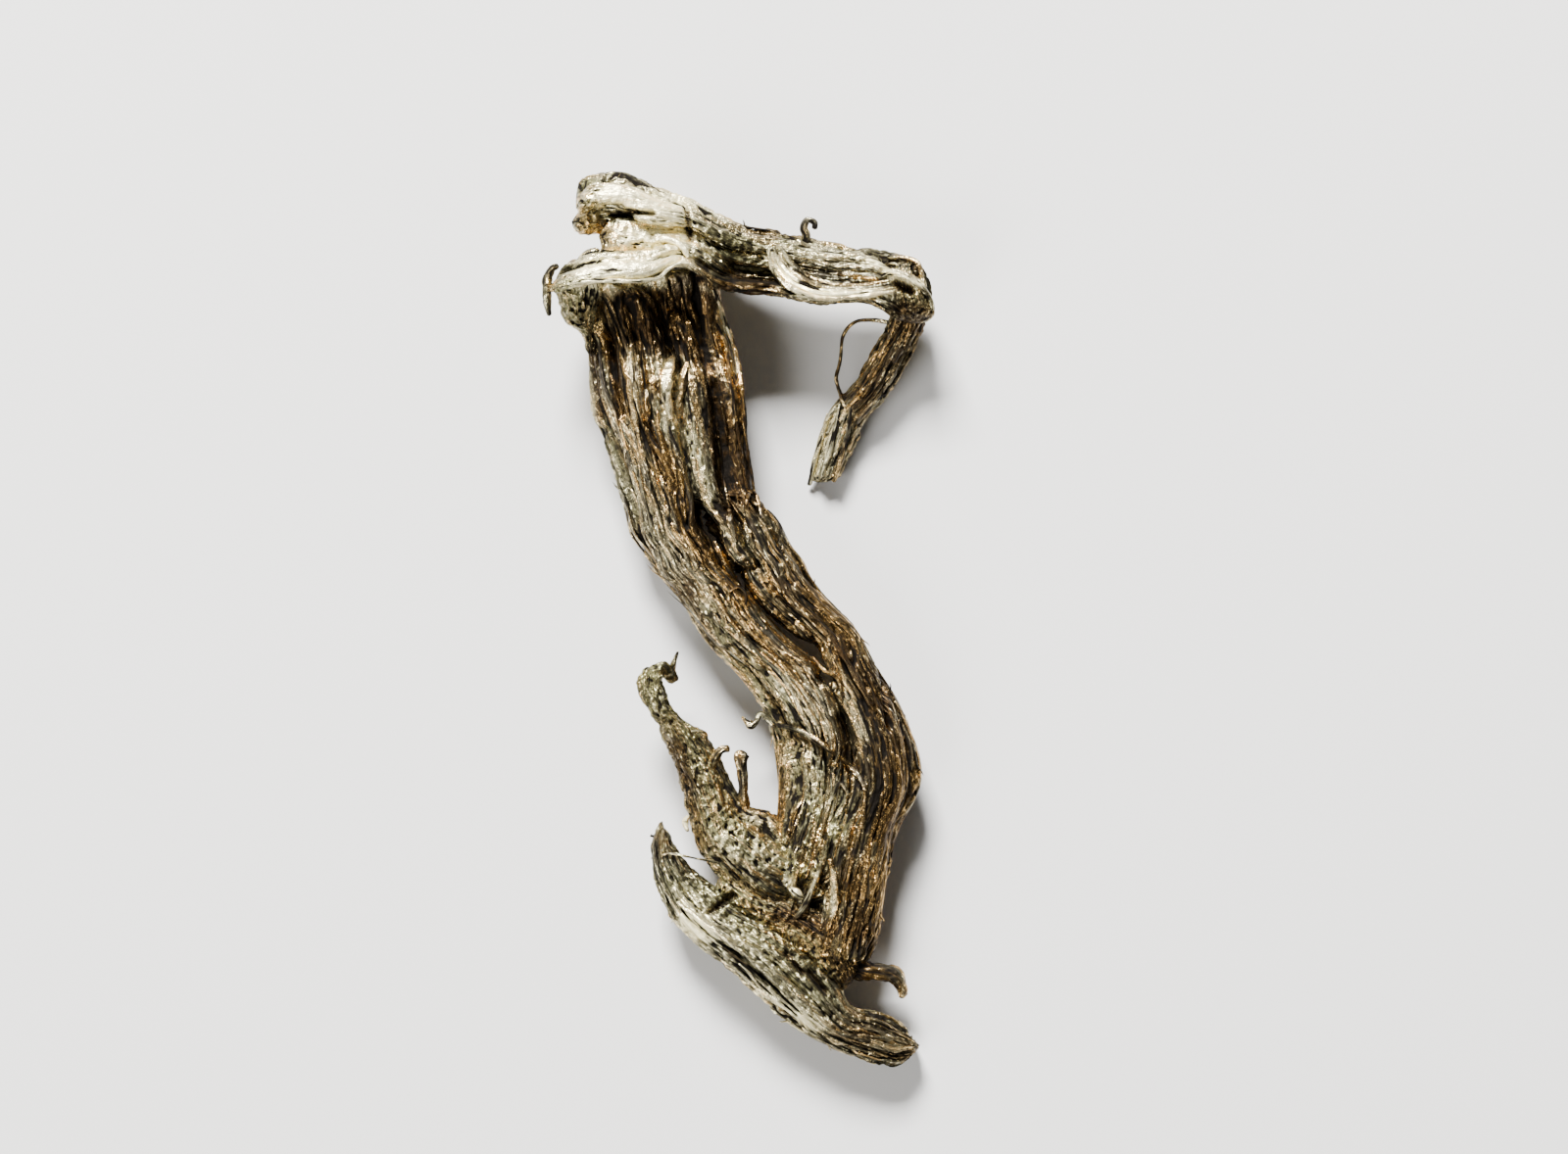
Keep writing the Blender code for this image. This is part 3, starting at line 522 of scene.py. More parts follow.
# Paleness: paler silver with a painted highlight, on the head's lips and ledge and on bright spots elsewhere.
PALE_AND_HIGHLIGHT = (
    Patch(-6.65, 21.50, -3.25, 21.25, 0.75, 1.10), Patch(-5.75, 19.45, -2.75, 19.25, 0.70, 0.80),
    Patch(-7.50, 17.70, -3.25, 17.90, 0.80, 1.25), Patch(-2.75, 17.25, -1.25, 16.75, 0.15, 0.50),
    Patch(1.75, 18.35, 3.15, 16.75, 0.30, 0.90), Patch(3.15, 16.75, 7.50, 16.60, 0.30, 1.00),
    Patch(3.75, 18.65, 7.50, 18.00, 0.50, 0.45), Patch(6.50, 18.25, 7.35, 18.25, 0.35, 0.60),
    Patch(7.50, 17.65, 9.15, 17.15, 0.22, 1.00), Patch(-3.25, 21.55, 0.25, 20.20, 0.20, 0.60),
    Patch(-7.95, 14.25, -7.45, 10.75, 0.14, 0.60), Patch(-5.55, 13.85, -5.25, 10.40, 0.25, 0.40),
    Patch(-3.55, 13.00, -3.45, 10.35, 0.50, 0.50), Patch(-2.75, 9.75, -1.50, 6.25, 0.45, 0.30),
    Patch(-2.70, -15.45, -1.60, -16.10, 0.40, 1.60), Patch(-2.95, -9.95, -2.80, -10.35, 0.35, 1.50),
    Patch(2.55, -13.25, 3.05, -13.55, 0.25, 1.20), Patch(4.75, -12.75, 4.75, -14.75, 0.15, 0.50),
    Patch(4.00, -12.75, 3.00, -15.00, 0.12, 0.50), Patch(-3.25, -13.85, -1.65, -15.15, 0.45, 0.30),
    Patch(4.85, 10.75, 3.95, 7.35, 0.60, 0.55), Patch(-1.35, 16.75, -0.65, 14.75, 0.20, 0.70),
    Patch(-0.65, 14.75, -0.15, 12.75, 0.12, 0.40), Patch(-0.75, -15.50, 1.75, -17.50, 0.30, 0.20),
    Patch(-0.75, -11.25, 1.75, -12.25, 0.80, 0.30), Patch(2.75, -7.00, 4.75, -9.75, 0.80, 0.20),
    Patch(3.00, 16.60, 4.75, 16.40, 0.25, 0.60), Patch(-4.75, 20.70, -3.00, 20.05, 0.50, 0.80),
    Patch(-2.15, 21.15, -1.65, 19.00, 0.50, 0.30), Patch(1.50, 18.75, 3.00, 18.85, 0.50, 0.40),
    Patch(-5.50, 7.25, -2.00, 0.75, 0.45, 0.22), Patch(2.25, -3.25, 4.25, -5.15, 0.80, 0.25),
    Patch(5.65, -2.75, 6.25, -5.75, 0.50, 0.20), Patch(-3.15, -8.25, -2.75, -8.75, 0.35, 0.30),
    Patch(0.55, -10.05, 1.50, -10.35, 0.35, 0.60), Patch(2.85, -13.65, 3.25, -14.00, 0.25, 1.00),
    Patch(-2.75, -15.00, 4.75, -20.25, 1.10, 0.15), Patch(1.05, -19.25, 3.85, -20.75, 0.50, 0.90),
    Patch(-2.85, -15.00, -2.15, -15.85, 0.35, 0.50), Patch(7.25, -21.65, 8.15, -21.95, 0.40, 0.30),
    Patch(-5.75, 17.15, -8.00, 16.95, 0.30, 0.50),
)
GRAIN = (
    Patch(-3.55, 13.15, -3.35, 10.25, 0.60, 0.60), Patch(-4.15, -2.75, -0.75, -10.75, 1.00, 0.90),
    Patch(-5.25, -2.25, -4.35, -3.25, 0.80, 0.40), Patch(2.50, -6.50, 4.75, -10.25, 1.00, 0.95),
    Patch(-0.50, -10.85, 2.85, -12.25, 1.10, 0.90), Patch(-1.85, 19.50, 1.50, 18.35, 0.80, 0.85),
    Patch(-9.05, 16.75, -7.85, 15.15, 0.90, 1.00), Patch(-2.60, 9.75, -1.45, 6.25, 0.45, 0.60),
    Patch(8.50, 16.75, 9.35, 15.75, 0.80, 0.90), Patch(-4.15, -3.25, -2.75, -10.25, 0.80, 0.70),
    Patch(-2.50, 1.25, 1.75, -4.25, 1.20, 0.45), Patch(-1.00, -13.50, 4.75, -17.50, 0.90, 0.80),
    Patch(-7.15, 10.25, -5.15, 5.25, 0.35, 0.35), Patch(2.25, 19.25, 3.75, 18.85, 0.40, 0.50),
    Patch(3.25, -12.25, 4.75, -14.25, 0.80, 0.60), Patch(-4.35, -2.00, -4.35, -3.25, 0.50, 0.50),
    Patch(-7.70, 22.25, -7.60, 19.75, 0.70, 1.00), Patch(-6.35, 19.85, -4.75, 19.15, 0.80, 0.90),
    Patch(-9.15, 16.85, -7.65, 17.45, 0.40, 0.80), Patch(-3.25, -13.50, 4.75, -19.75, 0.80, 0.45),
    Patch(-4.50, 18.85, -2.75, 18.25, 0.60, 0.50),
)
# Darkness: dark tarnish and painted shade, such as the ledge's cast shadow on the stem's top (the patches
# that reach no higher than 6.6 mm), the slits, holes, crevices and the groove on the stem's right. Negative
# patches lighten.
DARK_TARNISH_AND_SHADE = (
    Patch(-5.75, 15.75, -1.55, 15.85, 1.10, 0.90, 6.6), Patch(-5.75, 16.45, -1.00, 16.55, 0.50, 0.70, 6.6),
    Patch(-3.25, 17.45, -2.15, 17.55, 0.50, 1.20, 6.6), Patch(-5.00, 14.45, -2.15, 14.05, 0.75, 0.95),
    Patch(-6.65, 14.50, -6.05, 10.60, 0.33, 1.00), Patch(-7.55, 13.85, -7.15, 10.50, 0.40, 1.00),
    Patch(-1.35, 11.75, -0.70, 5.75, 0.60, 1.10), Patch(-1.55, 13.05, -1.00, 11.85, 0.45, 0.80),
    Patch(-2.15, 5.55, -0.90, 3.65, 0.45, 2.60, 3.7), Patch(-1.35, 3.35, -0.50, 1.75, 0.35, 2.60, 3.7),
    Patch(-0.25, 9.95, 0.65, 6.35, 0.90, 1.30), Patch(7.25, -2.75, 7.65, -10.75, 1.30, 0.85),
    Patch(5.10, -5.00, 6.00, -7.75, 0.35, 0.70), Patch(7.35, -3.25, 7.65, -5.35, 0.13, 1.00),
    Patch(3.00, -13.50, 3.55, -14.35, 0.40, 1.00), Patch(-3.25, 3.75, -0.75, -3.25, 0.30, 0.30),
    Patch(4.15, -12.75, 4.35, -13.50, 0.20, 0.80), Patch(5.50, -13.25, 6.75, -16.50, 1.20, 0.55),
    Patch(4.75, -20.25, 8.00, -21.85, 0.90, 0.60), Patch(8.85, 15.00, 6.05, 11.00, 0.90, 0.80),
    Patch(8.15, 15.85, 9.25, 15.65, 0.75, 1.00), Patch(-0.15, 17.55, 1.65, 17.20, 0.38, 1.00),
    Patch(-0.65, 16.75, 1.50, 16.55, 0.35, 1.60), Patch(-2.00, 19.75, 1.75, 18.35, 0.70, 0.50),
    Patch(-4.95, 10.25, -1.60, 3.30, 0.45, 0.85), Patch(-2.75, 1.50, -1.00, -1.25, 0.90, 0.50),
    Patch(-3.25, -6.50, -2.35, -10.75, 0.50, 0.60), Patch(-4.50, -2.75, -2.50, -8.25, 0.80, 0.25),
    Patch(4.40, -16.65, 5.85, -18.75, 0.50, 0.90), Patch(3.50, -4.00, 5.25, -5.25, 0.30, 0.50),
    Patch(2.25, -15.00, 4.50, -16.00, 0.40, 0.40), Patch(5.15, -1.25, 6.50, -4.25, 0.50, 0.50),
    Patch(-2.70, 21.00, -2.45, 19.35, 0.12, 1.00), Patch(2.25, 1.75, 6.25, -2.75, 0.70, 0.45),
    Patch(-6.40, 20.60, -5.35, 20.70, 0.12, 1.00), Patch(-5.35, 20.70, -4.25, 20.50, 0.12, 1.00),
    Patch(7.20, 18.55, 7.80, 17.95, 0.14, 1.20), Patch(8.85, 18.05, 9.05, 17.55, 0.14, 1.20),
    Patch(7.95, 17.15, 8.65, 16.85, 0.22, 1.20), Patch(7.25, 17.25, 7.45, 17.00, 0.13, 1.20),
    Patch(-3.25, 15.25, -1.00, 10.75, 0.35, 0.50, 4.6), Patch(-5.75, 5.75, -0.75, -3.25, 0.30, 0.30),
    Patch(-3.75, -3.25, -2.15, -9.25, 0.90, 0.40), Patch(-1.25, -12.50, 3.75, -15.50, 0.50, 0.30),
    Patch(-5.75, 7.75, -2.75, 1.75, 0.90, 0.45), Patch(5.75, -12.25, 6.25, -16.25, 1.00, 0.25),
    Patch(-9.00, 16.50, -8.25, 15.25, 0.60, 0.35), Patch(-3.15, 13.15, -3.05, 12.75, 0.13, 1.20),
    Patch(-4.15, 12.00, -4.05, 11.60, 0.13, 1.20), Patch(-2.80, 12.15, -2.70, 11.75, 0.10, 1.20),
    Patch(-3.55, 10.75, -3.45, 10.45, 0.12, 1.00), Patch(-1.50, -14.80, -0.35, -14.05, 0.16, 1.10),
    Patch(2.40, -16.95, 3.20, -17.90, 0.17, 1.10), Patch(3.55, -17.90, 4.35, -18.90, 0.20, 0.90),
    Patch(-0.85, -16.60, 0.45, -17.60, 0.10, 0.90), Patch(0.95, -19.20, 2.70, -20.30, 0.10, 0.90),
    Patch(2.50, -5.75, 5.25, -6.50, 0.25, 0.80), Patch(-5.25, 13.65, -0.75, 13.25, 0.40, 0.30),
    Patch(-1.00, 0.35, 1.75, -1.35, 0.70, 0.30), Patch(2.25, 2.85, 5.35, -1.00, 0.80, 0.50),
    Patch(2.65, -10.75, 3.00, -12.00, 0.45, 0.80), Patch(1.85, -15.00, 5.75, -15.75, 0.60, 0.75),
    Patch(-4.35, -4.65, -3.25, -6.75, 0.35, 0.40), Patch(-9.65, 17.50, -9.55, 15.50, 0.60, 0.35),
    Patch(-7.90, 15.50, -7.60, 14.85, 0.40, 0.30), Patch(5.25, 15.25, 5.05, 11.75, 0.30, 2.60),
    Patch(-0.25, 20.25, 4.50, 19.60, 0.35, 0.75), Patch(-0.15, 9.75, 0.55, 6.35, 0.40, 1.30),
    Patch(0.10, 3.15, 0.35, 1.50, 0.35, -0.80), Patch(-2.15, 6.50, -1.65, 5.25, 0.30, -0.50),
    Patch(-4.15, -10.50, -4.00, -12.00, 0.50, 0.35),
)
DENT = (
    Patch(-6.65, 14.50, -6.05, 10.60, 0.28, 0.45), Patch(-1.35, 11.75, -0.70, 5.75, 0.35, 0.25),
    Patch(-0.25, 17.80, 1.65, 17.45, 0.45, 1.00), Patch(-2.70, 21.00, -2.45, 19.25, 0.13, 0.50),
    Patch(-6.40, 20.60, -4.35, 20.60, 0.12, 0.70), Patch(7.20, 17.25, 7.40, 17.00, 0.15, 0.50),
    Patch(7.20, 18.55, 7.80, 17.95, 0.15, 0.60), Patch(8.85, 18.05, 9.05, 17.55, 0.15, 0.50),
    Patch(7.95, 17.15, 8.65, 16.80, 0.22, 0.60), Patch(5.10, -5.00, 6.00, -7.75, 0.35, 0.35),
    Patch(7.35, -3.25, 7.65, -5.35, 0.12, 0.70), Patch(3.05, -13.50, 3.55, -14.35, 0.40, 0.90),
    Patch(4.15, -12.75, 4.35, -13.50, 0.20, 0.60), Patch(-3.15, 13.15, -3.05, 12.75, 0.12, 0.35),
    Patch(-4.15, 12.00, -4.05, 11.60, 0.12, 0.35), Patch(-1.50, -14.80, -0.35, -14.05, 0.15, 0.50),
    Patch(2.40, -16.95, 3.20, -17.90, 0.15, 0.50), Patch(3.55, -17.90, 4.35, -18.90, 0.20, 0.40),
    Patch(4.25, -5.75, 4.55, -8.25, 0.10, 0.30), Patch(-7.55, 13.05, -7.30, 11.45, 0.12, 0.30),
    Patch(4.05, -2.85, 4.85, -3.20, 0.20, 0.60), Patch(2.25, -6.10, 5.25, -7.00, 0.30, 0.35),
    Patch(2.50, -7.75, 4.75, -10.25, 0.90, 0.30), Patch(0.00, 9.75, 0.85, 6.75, 0.40, 0.15),
)


# --- Noise and curves ---------------------------------------------------------------------------------------

SLOPES = np.random.default_rng(7).normal(size=(256, 3))
SLOPES /= np.linalg.norm(SLOPES, axis=1, keepdims=True)


def noise(points, seed=0):
    """Smooth noise between about -1 and 1.

    Each corner of the unit grid has a random slope. The heights that the eight slopes round a point have
    there are blended by the fade 6f^5 - 15f^4 + 10f^3.
    """
    corner = np.floor(points).astype(np.int64)
    inside = points - corner
    fade = inside**3 * (inside * (6 * inside - 15) + 10)
    total = np.zeros(points.shape[:-1])
    for number in range(8):
        step = np.array((number & 1, number >> 1 & 1, number >> 2 & 1))
        at = corner + step
        key = at[..., 0] * 73856093 ^ at[..., 1] * 19349663 ^ at[..., 2] * 83492791 ^ (seed + 1) * 40503
        key = (key ^ key >> 13) * 60493 & 0xFFFFFF
        slope = SLOPES[(key ^ key >> 9) & 255]
        height = (slope * (inside - step)).sum(-1)
        total += height * np.where(step, fade, 1 - fade).prod(-1)
    return 1.7 * total


def smoothstep(low, high, value):
    """0 below low, 1 above high, and 3f^2 - 2f^3 between."""
    f = np.clip((value - low) / (high - low), 0, 1)
    return f * f * (3 - 2 * f)


def smooth_rows(rows, t):
    """The Catmull-Rom curve through the rows, read at t, where a whole number is a row itself."""
    rows = np.asarray(rows, float)
    last = len(rows) - 1
    below = np.clip(np.floor(t).astype(int), 0, last - 1)
    f = (t - below)[..., None]
    a, b, c, d = (rows[np.clip(below + k, 0, last)] for k in (-1, 0, 1, 2))
    return b + 0.5 * f * ((c - a) + f * ((2 * a - 5 * b + 4 * c - d) + f * (3 * b - a - 3 * c + d)))


def tint(points, patches, base=0.0):
    """The patches' sum at each point: each is its strength times exp(-(distance to its line / reach)^2).

    The distance is measured in the plan, and a patch fades out over the 0.4 mm above its top.
    """
    total = np.full(points.shape[:-1], float(base))
    for patch in patches:
        start = np.array((patch.from_x, patch.from_y))
        line = np.array((patch.to_x, patch.to_y)) - start
        offset = points[..., :2] - start
        share = np.clip((offset * line).sum(-1) / (line * line).sum(), 0, 1)
        gap = offset - share[..., None] * line
        below = smoothstep(patch.top + 0.4, patch.top, points[..., 2])
        total += patch.strength * below * np.exp(-(gap * gap).sum(-1) / patch.reach**2)
    return total


# --- Bundles ------------------------------------------------------------------------------------------------

UP = np.array((0.0, 0.0, 1.0))
# How sharply neighbouring strands stand apart in a skin, per millimetre.
BLEND = 6.0
# The least reach of a skin from its middle, in millimetres.
LEAST_REACH = 0.05
# A bundle's usual half width and half depth in millimetres, which turn a share of it into a fibre's place.
FIBRE_HALF_WIDTH = 3.2
FIBRE_HALF_DEPTH = 2.1
# How far the wires wander sideways, and over which lengths across, through and along the bundle.
WANDER = 0.35
WANDER_LENGTHS = (3.0, 3.0, 7.0)
# How wide the grooves between broad wires and between fine ones, and the cracks, are in their noise.
SPLIT_WIDTH = 0.11
GROOVE_WIDTH = 0.16
CRACK_WIDTH = 0.06
# Within about this height of the table a shape bends off, so that it stays above it, in millimetres.
TABLE_BEND = 0.05
# The least height of the middle of a loose strand, in millimetres.
STRAND_LEAST = 0.12
# Paleness with its painted highlight, dents, and darkness with its dark tarnish and painted shade fade in
# between these two heights of the unit vector that points outwards, so that they stay off the underside.
PALE_AND_HIGHLIGHT_FACING = (-0.5, 0.3)
DENT_FACING = (-0.1, 0.6)
DARK_AND_SHADE_FACING = (-0.9, 0.0)
# How much closer a skin's columns lie on the upper side.
CROWDING = 0.4
# How far a loose strand's free end lifts off, and the share of the ends that do.
LIFT = 0.3
LIFTED = 0.25


def sections(stations, t):
    """The cross-section at each t: centre, unit vector towards the right edge, half width and half depth."""
    row = smooth_rows(stations, t)
    left, right = row[..., 0:2], row[..., 2:4]
    span = (right - left) / 2
    half_width = np.linalg.norm(span, axis=-1)
    centre = np.concatenate([(left + right) / 2, row[..., 4:5]], axis=-1)
    side = np.concatenate([span / half_width[..., None], np.zeros_like(row[..., :1])], axis=-1)
    return centre, side, half_width, row[..., 5]


def run_length(bundle, t):
    """How far along the bundle's middle each t is, in millimetres."""
    steps = np.linspace(-0.5, len(bundle.stations) - 0.5, 400)
    centre = sections(bundle.stations, steps)[0]
    lengths = np.linalg.norm(np.diff(centre, axis=0), axis=1)
    return np.interp(t, steps, np.concatenate([[0], np.cumsum(lengths)]))


def strand_circles(bundle, picks, t, half_width, half_depth):
    """Centre and radius of each picked strand's circle in the cross-sections at t, and its shift at slits.

    The radius swells by a slow sine wave. The centre strays by another, drifts with the seam (less towards
    the edges, as 1 - across^2) and bows away from the seam at a slit. A strand narrows down at both ends.
    """
    found = []
    places = np.arange(len(bundle.drift))
    drift = np.interp(t, places, bundle.drift)
    for number in picks:
        strand = bundle.strands[number]
        phase = 2.4 * number
        radius = strand.thick * half_width * (1 + SWELL * np.sin(2.1 * t + phase))
        radius = np.minimum(radius, 0.9 * half_depth)
        shift = sum(width * np.exp(-(((t - at) / half) ** 2)) for at, half, width in bundle.slits)
        shift = shift * math.copysign(1, strand.across - SEAM_ACROSS)
        across = strand.across + STRAY * np.sin(1.3 * t + 1.7 * phase) + shift
        across = across + drift * (1 - strand.across**2)
        x = across * (half_width - radius)
        z = strand.deep * (half_depth - radius)
        alive = smoothstep(strand.first - 0.12, strand.first + 0.2, t)
        alive = alive * (1 - smoothstep(strand.last - 0.2, strand.last + 0.12, t))
        found.append((x, z, radius * np.sqrt(alive), shift * half_width + 0 * x))
    return np.array(found).swapaxes(0, 1)


def on_bundle(bundle, picks, t, angle):
    """The envelope of the picked strands, as seen from the middle of the cross-section at each t.

    From the middle (the circles' mean, weighted by area) a ray goes out at each angle. Its reach is a smooth
    maximum, log(sum(exp(k * distance))) / k, of the distances at which it leaves the strands' circles. A
    circle that the ray misses counts for less, the further off it lies.
    """
    centre, side, half_width, half_depth = sections(bundle.stations, t)
    x, z, radius, shift = strand_circles(bundle, picks, t, half_width, half_depth)
    weight = radius**2 + 1e-6
    weight = weight / weight.sum(0)
    mid_x, mid_z, mid_shift = ((weight * part).sum(0) for part in (x, z, shift))
    ray_x, ray_z = np.cos(angle), np.sin(angle)
    ahead = (x - mid_x) * ray_x + (z - mid_z) * ray_z
    aside = (x - mid_x) * ray_z - (z - mid_z) * ray_x
    chord = radius**2 - aside**2
    crossed = ahead + np.sqrt(np.maximum(chord, 0))
    missed = ahead - 4 * np.sqrt(np.maximum(-chord, 0))
    leaves = np.where(chord > 0, crossed, missed)
    reach = np.log(np.exp(np.clip(BLEND * leaves, -40, 60)).sum(0)) / BLEND
    return {
        "centre": centre + mid_x[..., None] * side + mid_z[..., None] * UP,
        "out": ray_x[..., None] * side + ray_z[..., None] * UP,
        "reach": np.maximum(reach, LEAST_REACH),
        "across": (mid_x - mid_shift) / half_width,
        "deep": mid_z / half_depth,
        "share": np.stack([ray_x / half_width, ray_z / half_depth], axis=-1),
        "run": run_length(bundle, t),
    }


def fibre_place(spot, reach):
    """Where a point lies among the wires: its place across and through the bundle, and along it, in mm.

    The first two keep their value along a wire, so noise that is short in them and long in the third makes
    wires that run the bundle's length.
    """
    across = FIBRE_HALF_WIDTH * (spot["across"] + reach * spot["share"][..., 0])
    through = FIBRE_HALF_DEPTH * (spot["deep"] + reach * spot["share"][..., 1])
    place = np.stack([across, through, spot["run"]], axis=-1)
    wander = place / WANDER_LENGTHS
    place[..., 0] += WANDER * noise(wander, 3)
    place[..., 1] += WANDER * noise(wander, 4)
    return place


def wire_relief(place, points, grain, shape, seed):
    """Relief of a skin in mm, and how light (above 0) or dark (below) its places are, which paints shade into
    the grooves, gaps, cracks and pits.

    The wires are flat-backed, with a narrow groove exp(-(n / w)^2) along each zero line of noise that is
    short across the wires and long along them. There are two sizes of wire, gaps where a fine one is broken
    off, and a few deep cracks. Where the grain is high, lumps of even noise with pits between take the wires'
    place.
    """
    wide, fine = shape.wire_width * 1000, shape.stria_width * 1000
    big = noise(place / (wide, wide, 7 * wide), seed)
    small = noise(place / (fine, fine, 5 * fine), seed + 1)
    tiny = noise(place / (0.5 * fine, 0.5 * fine, 2.5 * fine), seed + 2)
    split = np.exp(-((big / SPLIT_WIDTH) ** 2))
    groove = np.exp(-((small / GROOVE_WIDTH) ** 2))
    gap = smoothstep(0.24, 0.42, noise(place / (fine, fine, 3.5 * fine), seed + 3))
    crack = np.exp(-((noise(place / (1.1, 1.1, 7.0), seed + 4) / CRACK_WIDTH) ** 2))
    crack = crack * smoothstep(0.0, 0.3, noise(place / (1.3, 1.3, 2.6), seed + 5))
    wires = shape.wire_height * (1 - 2 * np.abs(big) - 1.6 * split) - shape.crack_depth * crack
    wires = wires + shape.stria_height * (0.6 * tiny - groove - 1.5 * gap)
    lumps = 1 - 2 * np.abs(noise(points / 0.45, seed + 6)) + 1.2 * noise(points / 0.9, seed + 9)
    crumbs = noise(points / 0.2, seed + 7)
    pits = smoothstep(0.25, 0.5, noise(points / 0.3, seed + 8))
    lumpy = shape.grain_height * (lumps + 0.6 * crumbs - 1.8 * pits)
    mix = np.clip(grain, 0, 1)
    shade = 0.55 + 0.5 * tiny - 1.3 * split - 0.8 * groove - 1.1 * gap - 1.8 * crack
    grainy = 0.3 + 0.6 * crumbs + 0.3 * lumps - 1.6 * pits
    relief = wires * (1 - 0.8 * mix) + lumpy * (0.2 + 0.8 * mix)
    return 1000 * relief, shade * (1 - 0.7 * mix) + grainy * 0.8 * mix


def blurred(values, columns, rows):
    """The mean of the values over about that many columns, which close on themselves, and rows."""
    for axis, reach, mode in ((1, columns // 2, "wrap"), (0, rows // 2, "edge")):
        pad = [(0, 0), (0, 0)]
        pad[axis] = (reach + 1, reach)
        total = np.cumsum(np.pad(values, pad, mode=mode), axis=axis)
        spot = np.arange(values.shape[axis])
        values = np.take(total, spot + 2 * reach + 1, axis=axis) - np.take(total, spot, axis=axis)
        values = values / (2 * reach + 1)
    return values


def above_table(height, least):
    """The height softly kept above the least one: least + w ln(1 + exp((height - least) / w))."""
    return least + TABLE_BEND * np.logaddexp(0, (height - least) / TABLE_BEND)


def skin_surface(bundle, skin, shape, seed, warmth):
    """A closed tube: the skin's envelope with its fine wires raised on it, ragged and rounded at both ends.

    The columns lie closer together on the upper side, at the angle u + c cos(u). Height is lower in a
    crevice, where the envelope runs below its own blurred one, which paints shade into the crevices. The
    relief is half as high in the palest places, and no point is below the table.
    """
    turn = np.linspace(0, 2 * math.pi, skin.columns, endpoint=False)[None, :]
    turn = turn + CROWDING * np.cos(turn)
    share = np.linspace(0, 1, skin.rows)[:, None]
    rim = np.concatenate([3 * np.cos(turn), 3 * np.sin(turn), 0 * turn], axis=0).T
    early = skin.ragged * (0.5 + 0.8 * noise(rim * 1.3, seed + 20))
    late = skin.ragged * (0.5 + 0.8 * noise(rim * 1.3 + 9.0, seed + 21))
    t = (skin.first + early) + share * (skin.last - late - skin.first - early)
    angle = turn + 0 * t
    spot = on_bundle(bundle, skin.picks, t, angle)
    reach = spot["reach"]
    from_end = np.minimum(spot["run"] - spot["run"][:1], spot["run"][-1:] - spot["run"])
    cap = np.sqrt(1 - (1 - np.clip(from_end / skin.round, 0, 1)) ** 2)
    rounded = reach * np.maximum(cap, 0.02)
    points = spot["centre"] + rounded[..., None] * spot["out"]
    place = fibre_place(spot, rounded)
    grain = tint(points, GRAIN, 0.2)
    facing = spot["out"][..., 2]
    # Paleness, paler silver with a painted highlight, only on the sides that face up.
    pale = tint(points, PALE_AND_HIGHLIGHT) * smoothstep(*PALE_AND_HIGHLIGHT_FACING, facing)
    relief, shade = wire_relief(place, points, grain, shape, seed)
    dip = tint(points, DENT) * smoothstep(*DENT_FACING, facing)
    # Painted shade: a crevice gets a lower height, and so a darker colour.
    crevice_shade = np.clip((reach - blurred(reach, skin.columns // 10, 7)) / 0.3, -0.8, 0.3)
    smooth = smoothstep(0.6, 1.1, pale)
    relief = relief * (1 - 0.5 * smooth)
    reach = np.maximum(reach + relief * cap - dip, 0.04) * np.maximum(cap, 0.02)
    points = spot["centre"] + reach[..., None] * spot["out"]
    points[..., 2] = above_table(points[..., 2], 0)
    # Height sets painted shade in low places, paleness a painted highlight, and darkness dark tarnish with
    # painted shade.
    return {
        "points": points[None],
        "place": place[None],
        "height": (shade * (1 - 0.5 * smooth) + crevice_shade)[None],
        "dark": (tint(points, DARK_TARNISH_AND_SHADE) * smoothstep(*DARK_AND_SHADE_FACING, facing))[None],
        "warm": tint(points, WARM, warmth)[None],
        "pale": pale[None],
        "grain": grain[None],
    }


